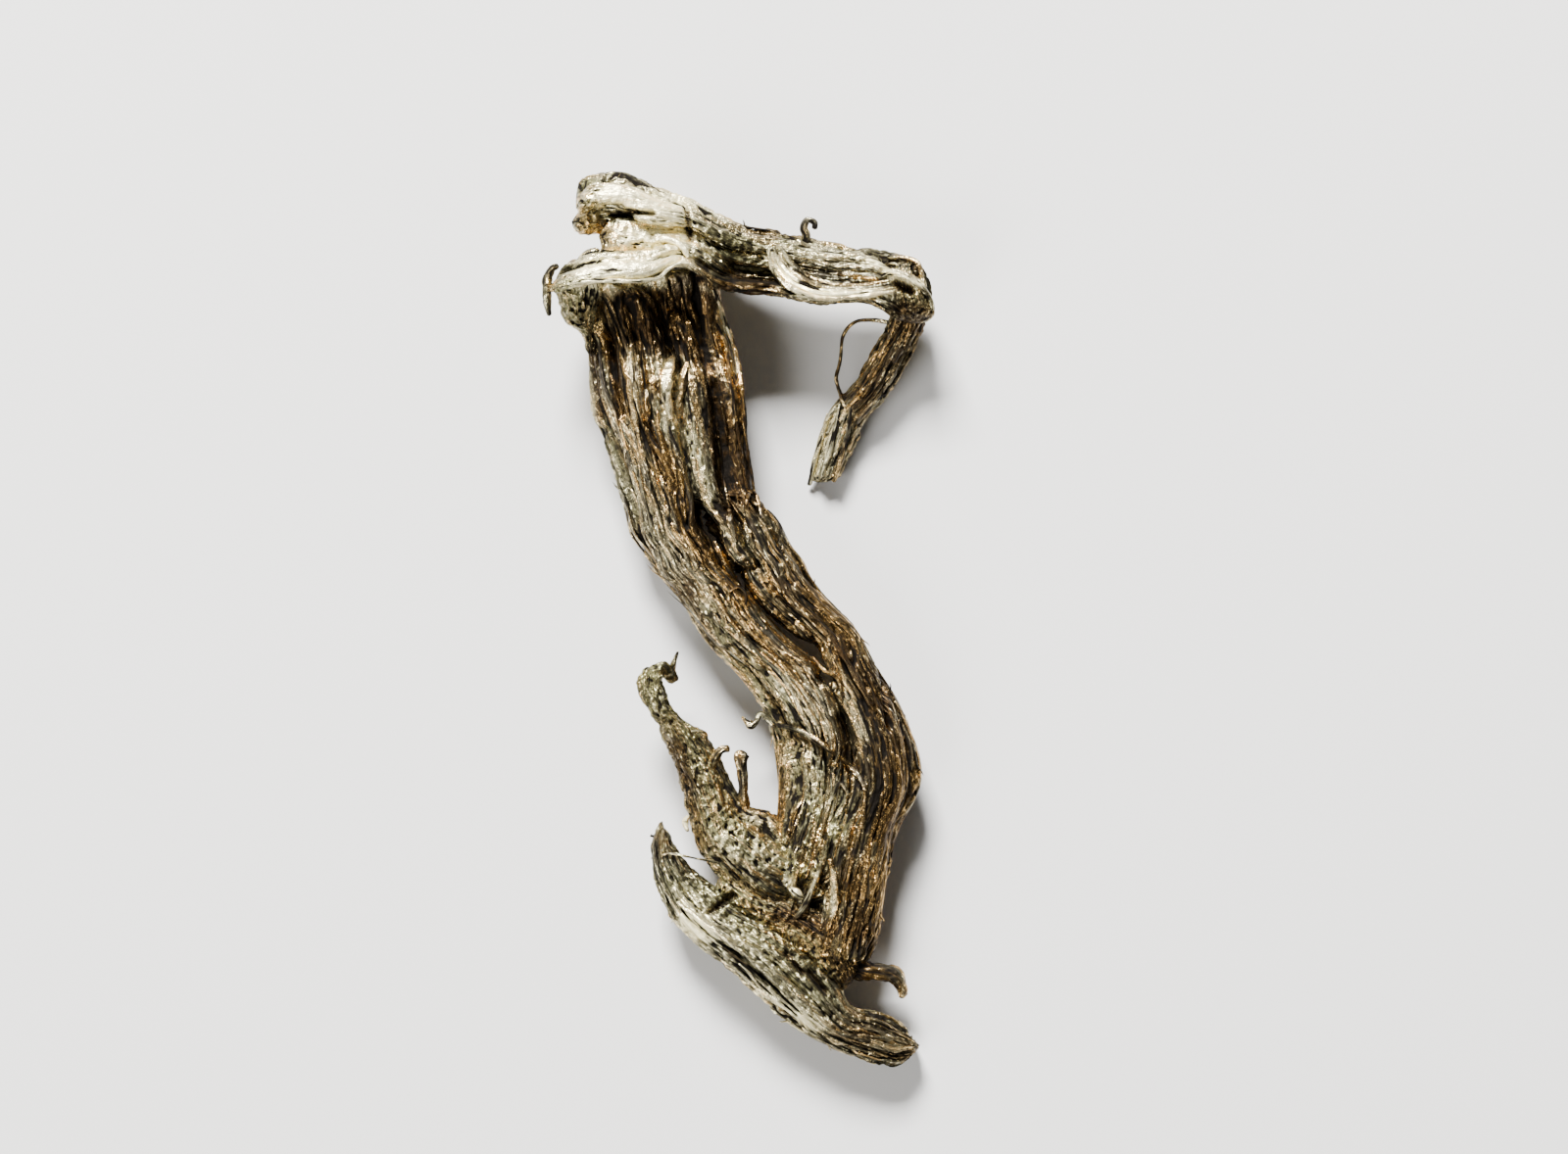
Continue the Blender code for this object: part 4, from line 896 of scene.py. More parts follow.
def laid_strands(bundle, skins, count, shape, seed, warmth, sides=6, steps=24):
    """Flat strands laid on the skins: each follows the envelope at a slowly wandering angle.

    A strand's cross-section is an ellipse with three low ribs, which narrows towards both ends. The strand
    lies half sunk in the skin, and one end in four lifts off it. Three in four start on the upper side. Where
    the silver is granular or pale, a strand is narrower and lies deeper. No point is below the table.
    """
    rng = np.random.default_rng(seed)
    surfaces = []
    weights = np.array([(skin.last - skin.first) * skin.columns for skin in skins], float)
    counts = np.maximum(1, np.round(count * weights / weights.sum()).astype(int))
    turn = np.linspace(0, 2 * math.pi, sides, endpoint=False)
    share = np.linspace(0, 1, steps)[None, :]
    for skin, number in zip(skins, counts):
        long = rng.uniform(0.06, 0.24, (number, 1)) * (skin.last - skin.first)
        first = skin.first + rng.uniform(0.02, 0.98, (number, 1)) * (skin.last - skin.first - long)
        t = first + share * long
        above = math.pi / 2 + rng.normal(0, 0.8, (number, 1))
        draw = rng.uniform(0, 1, (number, 1))
        anywhere = rng.uniform(0, 2 * math.pi, (number, 1))
        start = np.where(draw < 0.75, above, anywhere)
        phase = rng.uniform(0, 6, (number, 1))
        angle = start + 0.07 * np.sin(1.9 * t + phase) + 0.02 * np.sin(5.3 * t + 2 * phase)
        spot = on_bundle(bundle, skin.picks, t, angle)
        lifts = rng.uniform(0, 1, (number, 2))
        rise = LIFT * (lifts[:, :1] < LIFTED) * smoothstep(0.12, 0, share)
        rise = rise + LIFT * (lifts[:, 1:] < LIFTED) * smoothstep(0.88, 1, share)
        half = steps // 2
        middle = spot["centre"][:, half] + spot["reach"][:, half, None] * spot["out"][:, half]
        half_wide = shape.strand_width * 500 * rng.uniform(0.5, 1.4, (number, 1))
        facing = smoothstep(*PALE_AND_HIGHLIGHT_FACING, spot["out"][:, half, 2])
        plain = np.clip(np.maximum(tint(middle, GRAIN), 0.7 * facing * tint(middle, PALE_AND_HIGHLIGHT)), 0, 1)
        half_wide = half_wide * (1 - 0.8 * plain[:, None])
        thick = half_wide * rng.uniform(0.35, 0.6, (number, 1))
        wave = 1 + 0.22 * np.sin(11 * share * long + 3 * phase)
        narrow = np.sqrt(np.clip(1 - np.abs(2 * share - 1) ** 5, 0, 1)) * 0.92 + 0.08
        dip = tint(spot["centre"] + spot["reach"][..., None] * spot["out"], DENT)
        sunk_and_shaded = (0.2 - 1.5 * plain[:, None]) * thick
        reach = spot["reach"] + sunk_and_shaded + rise - dip * smoothstep(*DENT_FACING, spot["out"][..., 2])
        line = spot["centre"] + reach[..., None] * spot["out"]
        line[..., 2] = above_table(line[..., 2], STRAND_LEAST)
        along = np.gradient(line, axis=1)
        along /= np.linalg.norm(along, axis=-1, keepdims=True)
        flank = np.cross(along, spot["out"])
        flank /= np.linalg.norm(flank, axis=-1, keepdims=True)
        top = np.cross(flank, along)
        rib = 1 + 0.15 * np.cos(3 * turn[None, None, :] + phase[..., None])
        sideways = (half_wide * wave * narrow)[..., None] * np.cos(turn) * rib
        upward = (thick * narrow)[..., None] * np.sin(turn) * rib
        points = line[:, :, None] + sideways[..., None] * flank[:, :, None]
        points = points + upward[..., None] * top[:, :, None]
        points[..., 2] = above_table(points[..., 2], 0)
        own = rng.uniform(0, 40, (number, 1, 1))
        place = np.stack([sideways + own, upward + own, spot["run"][..., None] + 0 * sideways], axis=-1)
        tone = rng.normal(0, 0.25, (number, 1, 1))
        # Painted light: a strand's upper side has more height, and so a lighter colour, than its underside.
        # Darkness is dark tarnish with painted shade, and paleness a painted highlight.
        surfaces.append({
            "points": points,
            "place": place,
            "height": 0.05 + 0.55 * np.sin(turn) + 1.2 * tone,
            "dark": tint(points, DARK_TARNISH_AND_SHADE),
            "warm": tint(points, WARM, warmth) + tone,
            "pale": tint(points, PALE_AND_HIGHLIGHT) * facing[:, None, None],
            "grain": 0.5 * tint(points, GRAIN),
        })
    return {key: np.concatenate([s[key] for s in surfaces]) for key in surfaces[0]}


def fan(first, last, count):
    """Wires spread evenly from one (x, y, z, radius) row table to another of the same length."""
    share = np.linspace(0, 1, count)[:, None, None]
    return list((1 - share) * np.asarray(first) + share * np.asarray(last))


def lay_on(rows, surfaces):
    """The rows of a wire with the skins' height added: the highest one within 0.2 mm, or the nearest one."""
    rows = np.array(rows, float)
    cloud = np.concatenate([surface["points"].reshape(-1, 3) for surface in surfaces])
    low, high = rows[:, :2].min(0) - 1, rows[:, :2].max(0) + 1
    cloud = cloud[((cloud[:, :2] > low) & (cloud[:, :2] < high)).all(1)]
    gap = np.hypot(cloud[:, 0] - rows[:, :1], cloud[:, 1] - rows[:, 1:2])
    highest = np.where(gap < 0.2, cloud[:, 2], -9.0).max(1)
    rows[:, 2] += np.where(highest > -9, highest, cloud[gap.argmin(1), 2])
    return rows


def wire_surface(rows, shape, seed, warmth):
    """A wire on a smooth curve through (x, y, z, radius) rows, with round ends and the skins' fine relief."""
    rows = np.asarray(rows, float)
    fine = rows[:, 3].max() < 0.2
    sides = 10 if fine else 20
    span = np.linalg.norm(np.diff(rows[:, :3], axis=0), axis=1).sum()
    count = int(span / (0.12 if fine else 0.09)) + 8
    line = smooth_rows(rows, np.linspace(0, len(rows) - 1, count))
    centre, radius = line[:, :3], line[:, 3:]
    along = np.gradient(centre, axis=0)
    along /= np.linalg.norm(along, axis=-1, keepdims=True)
    helper = np.where(np.abs(along[:, 2:3]) < 0.9, UP, np.array((1.0, 0.0, 0.0)))
    flank = np.cross(along, helper)
    flank /= np.linalg.norm(flank, axis=-1, keepdims=True)
    top = np.cross(flank, along)
    turn = np.linspace(0, 2 * math.pi, sides, endpoint=False)
    run = np.concatenate([[0], np.cumsum(np.linalg.norm(np.diff(centre, axis=0), axis=1))])[:, None]
    from_end = np.minimum(run, run[-1] - run)
    cap = np.sqrt(1 - (1 - np.clip(from_end / (0.8 * radius), 0, 1)) ** 2)
    thick = radius * cap
    place = np.stack([thick * np.cos(turn) + 7 * seed, thick * np.sin(turn), run + 0 * turn], axis=-1)
    out = np.cos(turn)[:, None] * flank[:, None] + np.sin(turn)[:, None] * top[:, None]
    grain = tint(centre, GRAIN)[:, None] + 0 * turn
    relief, shade = wire_relief(place, centre[:, None] + radius[..., None] * out, grain, shape, seed)
    lumps = 1 + 0.2 * noise(place / (0.3, 0.3, 0.8), seed)
    rough = radius * lumps + relief * np.minimum(2 * radius, 1)
    wide = np.maximum(rough, 0.4 * radius) * np.maximum(cap, 0.05)
    points = centre[:, None] + wide[..., None] * out
    # Height sets painted shade in the grooves and cracks, darkness is dark tarnish with painted shade, and
    # paleness a painted highlight.
    return {
        "points": points[None],
        "place": place[None],
        "height": (0.8 * shade + 0.3 + 1.5 * (lumps - 1))[None],
        "dark": 0.6 * tint(points, DARK_TARNISH_AND_SHADE)[None],
        "warm": tint(points, WARM, warmth)[None],
        "pale": tint(points, PALE_AND_HIGHLIGHT)[None],
        "grain": 0.6 * tint(points, GRAIN)[None],
    }


# The number kept at each point: how raised a place is, which sets painted shade in low places, and how
# warm, pale with a painted highlight, granular, and dark with tarnish and painted shade.
TINTS = ("height", "warm", "pale", "grain", "dark")


# --- Meshes -------------------------------------------------------------------------------------------------


def mesh_of(name, surfaces):
    """Joins surfaces of closed tubes into one mesh. Each end of a tube is closed by a fan to a pole."""
    corners, firsts, vertices, values = [], [], [], {key: [] for key in TINTS}
    places, base, loops = [], 0, 0
    for surface in surfaces:
        tubes, rows, columns = surface["points"].shape[:3]
        grid = np.arange(tubes * rows * columns).reshape(tubes, rows, columns)
        after = np.roll(grid, -1, axis=2)
        quads = np.stack([grid[:, :-1], after[:, :-1], after[:, 1:], grid[:, 1:]], axis=-1).reshape(-1, 4)
        poles = tubes * rows * columns + np.arange(2 * tubes).reshape(tubes, 2)
        start = np.broadcast_to(poles[:, :1], (tubes, columns))
        end = np.broadcast_to(poles[:, 1:], (tubes, columns))
        fans = np.concatenate([
            np.stack([start, after[:, 0], grid[:, 0]], axis=-1).reshape(-1, 3),
            np.stack([end, grid[:, -1], after[:, -1]], axis=-1).reshape(-1, 3),
        ])
        points = surface["points"]
        tips = np.stack([points[:, 0].mean(1), points[:, -1].mean(1)], axis=1)
        cloud = np.concatenate([points.reshape(-1, 3), tips.reshape(-1, 3)])
        a, b, c = (cloud[np.concatenate([quads[:, :3], quads[:, [0, 2, 3]], fans])[:, k]] for k in range(3))
        if (a * np.cross(b, c)).sum() < 0:
            quads, fans = quads[:, ::-1], fans[:, ::-1]
        corners += [(quads + base).ravel(), (fans + base).ravel()]
        firsts += [loops + 4 * np.arange(len(quads)), loops + 4 * len(quads) + 3 * np.arange(len(fans))]
        loops += quads.size + fans.size
        base += len(cloud)
        vertices.append(cloud)
        for key, rows_of in values.items():
            field = np.broadcast_to(surface[key], points.shape[:3])
            ends = np.stack([field[:, 0].mean(1), field[:, -1].mean(1)], axis=1)
            rows_of.append(np.concatenate([field.ravel(), ends.ravel()]))
        place = surface["place"]
        ends = np.stack([place[:, 0].mean(1), place[:, -1].mean(1)], axis=1)
        places.append(np.concatenate([place.reshape(-1, 3), ends.reshape(-1, 3)]))
    mesh = bpy.data.meshes.new(name)
    mesh.vertices.add(base)
    mesh.vertices.foreach_set("co", (np.concatenate(vertices) * MM).astype(np.float32).ravel())
    mesh.loops.add(loops)
    mesh.loops.foreach_set("vertex_index", np.concatenate(corners).astype(np.int32))
    first = np.concatenate(firsts).astype(np.int32)
    mesh.polygons.add(len(first))
    mesh.polygons.foreach_set("loop_start", first)
    for key, rows_of in values.items():
        layer = mesh.attributes.new(key, "FLOAT", "POINT")
        layer.data.foreach_set("value", np.concatenate(rows_of).astype(np.float32))
    layer = mesh.attributes.new("place", "FLOAT_VECTOR", "POINT")
    layer.data.foreach_set("vector", np.concatenate(places).astype(np.float32).ravel())
    mesh.update(calc_edges=True)
    mesh.validate()
    mesh.shade_smooth()
    return mesh


# The material slot, the node of the solid, the seed of the random draws, how warm the silver is by itself,
# and how many loose strands there are.
Look = namedtuple("Look", "slot node seed warmth strands", defaults=(0,))


def add_piece(name, surfaces, slot, replaces=None):
    """Adds one visible piece that moves with the specimen, and stands for the node that it replaces."""
    piece = bpy.data.objects.new(name, mesh_of(name, surfaces))
    bpy.context.scene.collection.objects.link(piece)
    piece.data.materials.append(silver_material(slot))
    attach(piece, "root")
    if replaces:
        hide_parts(replaces)


def add_skins(bundle, skins, look):
    """Adds one piece for each skin, and gives back their surfaces."""
    shape = bpy.context.scene.silver_shape
    surfaces = []
    for place, skin in enumerate(skins):
        surfaces.append(skin_surface(bundle, skin, shape, look.seed + 40 * place, look.warmth))
        add_piece(skin.name, surfaces[-1:], look.slot, look.node)
    return surfaces


def add_strands(bundle, skins, look):
    """Adds one piece of all the loose strands on the skins."""
    shape = bpy.context.scene.silver_shape
    surface = laid_strands(bundle, skins, look.strands, shape, look.seed, look.warmth)
    add_piece(look.node + "_loose_strands", [surface], look.slot)


def add_wires(free, laid, surfaces, look):
    """Adds one piece of the free wires and of those that are laid on the surfaces."""
    shape = bpy.context.scene.silver_shape
    wires = [*free, *(lay_on(rows, surfaces) for rows in laid)]
    made = [wire_surface(rows, shape, look.seed + number, look.warmth) for number, rows in enumerate(wires)]
    add_piece(look.node + "_wires", made, look.slot)


# --- Materials ----------------------------------------------------------------------------------------------


def add_node(tree, kind, inputs=(), **settings):
    """Adds a node. inputs is a list of (socket, value): a number, a colour or another node's output."""
    made = tree.nodes.new(kind)
    for key, value in settings.items():
        setattr(made, key, value)
    for socket, value in inputs:
        if isinstance(value, bpy.types.NodeSocket):
            tree.links.new(value, made.inputs[socket])
        else:
            made.inputs[socket].default_value = value
    return made


def reckon(tree, operation, first, second=0.0, clamp=False):
    """The result of a sum on two numbers or outputs, kept between 0 and 1 where clamp is set."""
    inputs = [(0, first), (1, second)]
    return add_node(tree, "ShaderNodeMath", inputs, operation=operation, use_clamp=clamp).outputs[0]


def ramp(tree, value, low, high, start=0.0, end=1.0):
    """The value's place between low and high, eased, as a number between start and end."""
    inputs = [("Value", value), ("From Min", low), ("From Max", high), ("To Min", start), ("To Max", end)]
    made = add_node(tree, "ShaderNodeMapRange", inputs, interpolation_type="SMOOTHSTEP")
    return made.outputs["Result"]


def blend(tree, factor, first, second):
    """The colour that is first where the factor is 0 and second where it is 1."""
    made = add_node(tree, "ShaderNodeMix", [(0, factor), (6, first), (7, second)], data_type="RGBA")
    return made.outputs[2]


def stretched(tree, vector, factors):
    """The vector times three factors, which makes noise on it shorter where a factor is large."""
    inputs = [(0, vector), (1, factors)]
    return add_node(tree, "ShaderNodeVectorMath", inputs, operation="MULTIPLY").outputs[0]


def new_group(name, inputs, outputs):
    """A shader node group with sockets (name, kind, default), and its input and output nodes."""
    tree = bpy.data.node_groups.new(name, "ShaderNodeTree")
    for label, kind, default in inputs:
        socket = tree.interface.new_socket(label, in_out="INPUT", socket_type="NodeSocket" + kind)
        socket.default_value = default
    for label, kind in outputs:
        tree.interface.new_socket(label, in_out="OUTPUT", socket_type="NodeSocket" + kind)
    return tree, tree.nodes.new("NodeGroupInput").outputs, tree.nodes.new("NodeGroupOutput").inputs


def striae_group():
    """Fine grooves along the wires: noise on the place attribute, short across the wires and long along them.

    Tone is a slower noise of the same kind. The third output is 1 on small spots that get a painted
    highlight, and Dash is 1 on small dark ones.
    """
    name = "Wire striae"
    if name in bpy.data.node_groups:
        return bpy.data.node_groups[name]
    tree, given, out = new_group(
        name,
        [("Width", "Float", 0.1), ("Length", "Float", 2.0), ("Detail", "Float", 3.0)],
        [("Height", "Float"), ("Tone", "Float"), ("Spark", "Float"), ("Dash", "Float")],
    )
    place = add_node(tree, "ShaderNodeAttribute", attribute_name="place").outputs["Vector"]
    size = add_node(tree, "ShaderNodeCombineXYZ", [(0, given[0]), (1, given[0]), (2, given[1])]).outputs[0]
    across = add_node(tree, "ShaderNodeVectorMath", [(0, place), (1, size)], operation="DIVIDE").outputs[0]
    inputs = [("Vector", across), ("Scale", 1.0), ("Detail", given[2]), ("Roughness", 0.6)]
    fine = add_node(tree, "ShaderNodeTexNoise", inputs).outputs[0]
    coarse = stretched(tree, across, (0.22, 0.22, 0.3))
    inputs = [("Vector", coarse), ("Scale", 1.0), ("Detail", 2.0)]
    slow = add_node(tree, "ShaderNodeTexNoise", inputs).outputs[0]
    tree.links.new(fine, out[0])
    tree.links.new(ramp(tree, slow, 0.3, 0.7), out[1])
    dots = stretched(tree, across, (0.55, 0.55, 2.2))
    inputs = [("Vector", dots), ("Scale", 1.0), ("Detail", 1.0)]
    spots = add_node(tree, "ShaderNodeTexNoise", inputs).outputs[0]
    # Small spots for painted highlights, and small dark dashes.
    tree.links.new(ramp(tree, spots, 0.55, 0.63), out[2])
    tree.links.new(ramp(tree, spots, 0.40, 0.33), out[3])
    return tree


def grain_group():
    """Crystal grain: small lumps, and pits that are painted dark as shade, on object coordinates. Scale is
    lumps for each metre.
    """
    name = "Silver grain"
    if name in bpy.data.node_groups:
        return bpy.data.node_groups[name]
    tree, given, out = new_group(name, [("Scale", "Float", 4000.0)], [("Height", "Float"), ("Pits", "Float")])
    where = add_node(tree, "ShaderNodeTexCoord").outputs["Object"]
    inputs = [("Vector", where), ("Scale", given[0]), ("Detail", 3.0), ("Roughness", 0.65)]
    lumps = add_node(tree, "ShaderNodeTexNoise", inputs).outputs[0]
    cells = add_node(
        tree, "ShaderNodeTexVoronoi", [("Vector", where), ("Scale", reckon(tree, "MULTIPLY", given[0], 0.8))],
    ).outputs["Distance"]
    tree.links.new(reckon(tree, "SUBTRACT", lumps, reckon(tree, "MULTIPLY", cells, 0.35)), out[0])
    tree.links.new(ramp(tree, lumps, 0.42, 0.3), out[1])
    return tree


# What makes up the level of a place: shares of the relief, of the fine striae, of the slow ones and of the
# paleness, and what is taken off the sum.
RELIEF_SHARE = 1.25
STRIAE_SHARE = 3.4
SLOW_SHARE = 1.4
PALE_AND_HIGHLIGHT_SHARE = 0.45
LEVEL_DROP = 0.12


def tarnish_group():
    """Colour, roughness and metal of the silver, from its height, warmth, paleness with painted highlights,
    grain, and darkness with tarnish and painted shade.

    The level of a place says how raised it is, with its striae. Raised wires run from silver to gold with
    warmth, and low ones from dark grey to brown, which is tarnish with painted shade. Granular places have
    their own colour, and pale ones turn ivory, which is paler silver with a painted highlight and is less
    metallic, so that it looks brighter. Dark places are dimmed towards brown by tarnish and painted shade,
    such as the ledge's shadow. The highest crests and small spots on raised wires are painted highlights in
    gold or ivory, fainter where it is dim. Low places, small dashes, pits and the darkest places are painted
    almost black, as shade.
    """
    name = "Silver tarnish"
    if name in bpy.data.node_groups:
        return bpy.data.node_groups[name]
    tints = bpy.context.scene.silver_tints
    colours = ("silver", "gold", "slate", "umber", "ivory", "moss", "soot", "glint")
    tree, given, out = new_group(
        name,
        [(colour.capitalize(), "Color", (*getattr(tints, colour), 1)) for colour in colours]
        + [(label, "Float", 0.5) for label in ("Warmth", "Tone", "Fine", "Pits", "Spark", "Dash")],
        [("Color", "Color"), ("Roughness", "Float"), ("Metallic", "Float")],
    )
    silver, gold, slate, umber, ivory, moss, soot, glint, warmth, tone, fine, pits, highlight_spots, dash = given[:14]
    height, warm, pale, grain, shade = (
        add_node(tree, "ShaderNodeAttribute", attribute_name=key).outputs["Fac"] for key in TINTS
    )
    wobble = reckon(tree, "MULTIPLY", reckon(tree, "SUBTRACT", tone, 0.5), 1.1)
    warm = reckon(tree, "ADD", reckon(tree, "ADD", warm, warmth), wobble, clamp=True)
    bumps = reckon(tree, "MULTIPLY", reckon(tree, "SUBTRACT", fine, 0.5), STRIAE_SHARE)
    slow = reckon(tree, "SUBTRACT", reckon(tree, "MULTIPLY", wobble, SLOW_SHARE), LEVEL_DROP)
    level = reckon(tree, "ADD", reckon(tree, "MULTIPLY", height, RELIEF_SHARE), bumps)
    level = reckon(tree, "ADD", level, slow)
    level = reckon(tree, "ADD", level, reckon(tree, "MULTIPLY", pale, PALE_AND_HIGHLIGHT_SHARE))
    # Painted shade: low places take the dark grey to brown colours.
    raised = blend(tree, warm, silver, gold)
    sunk_and_shaded = blend(tree, warm, slate, umber)
    metal = blend(tree, ramp(tree, level, -0.4, 0.55), sunk_and_shaded, raised)
    granular = blend(tree, reckon(tree, "MULTIPLY", warm, 0.5), moss, gold)
    metal = blend(tree, reckon(tree, "MULTIPLY", grain, 0.7, clamp=True), metal, granular)
    # Painted highlight: pale places on raised wires turn ivory.
    pale_highlight = reckon(tree, "MULTIPLY", pale, ramp(tree, level, -0.7, 0.0), clamp=True)
    metal = blend(tree, pale_highlight, metal, ivory)
    # Dark tarnish and painted shade dim the colour towards brown.
    dim_and_shade = ramp(tree, shade, 0.0, 1.15, 0.0, 0.92)
    metal = blend(tree, dim_and_shade, metal, umber)
    # Painted highlights: the highest crests and small spots glint in gold or ivory.
    crest_highlight = ramp(tree, level, 0.95, 1.8, 0.0, 0.55)
    highlight_spots = reckon(tree, "MAXIMUM", crest_highlight, reckon(tree, "MULTIPLY", highlight_spots, ramp(tree, level, -0.1, 0.5)))
    highlight_spots = reckon(tree, "MULTIPLY", highlight_spots, reckon(tree, "SUBTRACT", 0.9, reckon(tree, "MULTIPLY", dim_and_shade, 0.6)))
    metal = blend(tree, highlight_spots, metal, blend(tree, warm, ivory, glint))
    clear = reckon(tree, "SUBTRACT", 0.85, reckon(tree, "MULTIPLY", pale_highlight, 0.5))
    dash = reckon(tree, "MULTIPLY", dash, clear)
    # Painted shade: low places, small dashes, pits and the darkest places turn almost black.
    dark = reckon(tree, "MAXIMUM", ramp(tree, level, -0.35, -1.05), dash)
    dark = reckon(tree, "MAXIMUM", dark, reckon(tree, "MULTIPLY", pits, reckon(tree, "ADD", grain, 0.4)))
    dark = reckon(tree, "MAXIMUM", dark, ramp(tree, shade, 1.3, 2.8, 0.0, 0.8), clamp=True)
    tree.links.new(blend(tree, dark, metal, soot), out[0])
    rough = reckon(tree, "ADD", ramp(tree, level, -0.8, 0.6, 0.45, 0.2), reckon(tree, "MULTIPLY", dark, 0.3))
    rough = reckon(tree, "SUBTRACT", rough, reckon(tree, "MULTIPLY", highlight_spots, 0.08))
    tree.links.new(rough, out[1])
    # Less metal where the painted highlight is, so that it looks brighter.
    tree.links.new(reckon(tree, "SUBTRACT", 1.0, reckon(tree, "MULTIPLY", pale_highlight, 0.4)), out[2])
    return tree


# Warmth, width and length of the striae in mm, bump of the striae and of the grain in metres.
SilverFinish = namedtuple("SilverFinish", "warmth stria_width stria_length stria_bump grain_bump")
FINISHES = {
    "bright_silver": SilverFinish(-0.05, 0.09, 0.8, 0.00006, 0.00005),
    "tarnished_silver": SilverFinish(0.05, 0.08, 0.8, 0.00007, 0.00005),
    "grey_silver": SilverFinish(-0.05, 0.08, 1.0, 0.00007, 0.00005),
}


def silver_material(slot):
    """The finish of one of the record's slots, made once."""
    name = slot + "_finish"
    if name in bpy.data.materials:
        return bpy.data.materials[name]
    finish = FINISHES[slot]
    material = bpy.data.materials.new(name)
    material.use_nodes = True
    tree = material.node_tree
    shader = tree.nodes["Principled BSDF"]
    striae = add_node(tree, "ShaderNodeGroup", node_tree=striae_group())
    striae.inputs["Width"].default_value = finish.stria_width
    striae.inputs["Length"].default_value = finish.stria_length
    grain = add_node(tree, "ShaderNodeGroup", node_tree=grain_group())
    tarnish = add_node(tree, "ShaderNodeGroup", node_tree=tarnish_group())
    tarnish.inputs["Warmth"].default_value = finish.warmth
    for output, socket in (("Tone", "Tone"), ("Height", "Fine"), ("Spark", "Spark"), ("Dash", "Dash")):
        tree.links.new(striae.outputs[output], tarnish.inputs[socket])
    tree.links.new(grain.outputs["Pits"], tarnish.inputs["Pits"])
    for output, socket in (("Color", "Base Color"), ("Roughness", "Roughness"), ("Metallic", "Metallic")):
        tree.links.new(tarnish.outputs[output], shader.inputs[socket])
    rough = add_node(
        tree, "ShaderNodeBump", [("Height", grain.outputs["Height"]), ("Distance", finish.grain_bump)],
    )
    fine = add_node(
        tree, "ShaderNodeBump",
        [("Height", striae.outputs["Height"]), ("Distance", finish.stria_bump), ("Normal", rough.outputs[0])],
    )
    tree.links.new(fine.outputs[0], shader.inputs["Normal"])
    return material


# --- The add-on ---------------------------------------------------------------------------------------------


def number_property(name, description, default, unit="NONE"):
    return bpy.props.FloatProperty(name=name, description=description, default=default, unit=unit, min=0)


def colour_property(name, description, default):
    return bpy.props.FloatVectorProperty(
        name=name, description=description, default=default, subtype="COLOR", min=0, max=1,
    )


def length_property(name, description, default):
    return number_property(name, description, default, "LENGTH")


class SilverShape(bpy.types.PropertyGroup):
    wire_width: length_property("Wire width", "Width of the broad wires on the skins", 0.0006)
    wire_height: length_property("Wire height", "How far the broad wires stand out", 0.00013)
    stria_width: length_property("Stria width", "Width of the fine wires", 0.00028)
    stria_height: length_property("Stria height", "How far the fine wires stand out", 0.00007)
    crack_depth: length_property("Crack depth", "Depth of the cracks between wires", 0.0003)
    grain_height: length_property("Grain height", "Height of the lumps where the silver is granular", 0.00008)
    strand_width: length_property("Strand width", "Mean width of the loose strands", 0.00028)


class SilverTints(bpy.types.PropertyGroup):
    silver: colour_property("Silver", "Raised wires with no tarnish", (0.215, 0.192, 0.122))
    gold: colour_property("Gold", "Raised wires under a warm tarnish", (0.30, 0.178, 0.055))
    # Slate and umber are tarnish. Low places take them as painted shade, and dark places are dimmed to umber
    # with tarnish and painted shade.
    slate: colour_property("Slate", "Low wires with a cool tarnish", (0.05, 0.044, 0.030))
    umber: colour_property("Umber", "Low wires with a warm tarnish", (0.045, 0.025, 0.010))
    # Paler silver and the painted highlights.
    ivory: colour_property("Ivory", "The palest silver", (1.0, 0.905, 0.54))
    moss: colour_property("Moss", "Granular silver", (0.25, 0.236, 0.105))
    # Painted shade in cracks, pits, small dashes and the darkest places.
    soot: colour_property("Soot", "Cracks and pits", (0.012, 0.010, 0.008))
    # The colour of painted highlights on warm wires.
    glint: colour_property("Glint", "Small bright spots on warm wires", (0.95, 0.60, 0.22))


class SilverStage(bpy.types.PropertyGroup):
    floor: colour_property("Floor", "Colour of the pale floor", (0.62, 0.61, 0.59))
    sky: number_property("Sky", "Strength of the even light", 0.14)
    key: number_property("Key", "Power of the main light", 20.5, "POWER")
    fill: number_property("Fill", "Power of the fill light", 3.5, "POWER")


class SILVER_OT_stem(bpy.types.Operator):
    """Adds the S-shaped stem: its two halves, the lens between them, the foot and the granular web there"""

    bl_idname = "silver.stem"
    bl_label = "Add stem"

    def execute(self, context):
        look = Look("tarnished_silver", "stem", seed=100, warmth=0.42, strands=330)
        free = (
            STEM_CURL, FOOT_SPUR, SLIT_BRIDGE, SLIT_HAIR, CAVITY_BLOB, CAVITY_LEFT, CAVITY_RIGHT, STEM_SPIKE,
        )
        laid = (
            FOLD_RIDGE, PLATE_EDGE, GOLD_RIM, GOLD_RIM_SECOND, PALE_LUMP, SMALL_LUMP, GREY_BEAD, BROKEN_END,
            HOLE_RIM, BAND_FIRST, BAND_SECOND, BAND_THIRD, BAND_FOURTH, GROOVE_FIRST, GROOVE_SECOND,
            GROOVE_THIRD, GROOVE_FOURTH,
        )
        surfaces = add_skins(STEM, STEM_SKINS, look)
        add_skins(WEB, WEB_SKINS, look._replace(seed=260, warmth=0.5))
        add_strands(STEM, STEM_SKINS, look)
        add_wires(free, laid, surfaces, look)
        return {"FINISHED"}


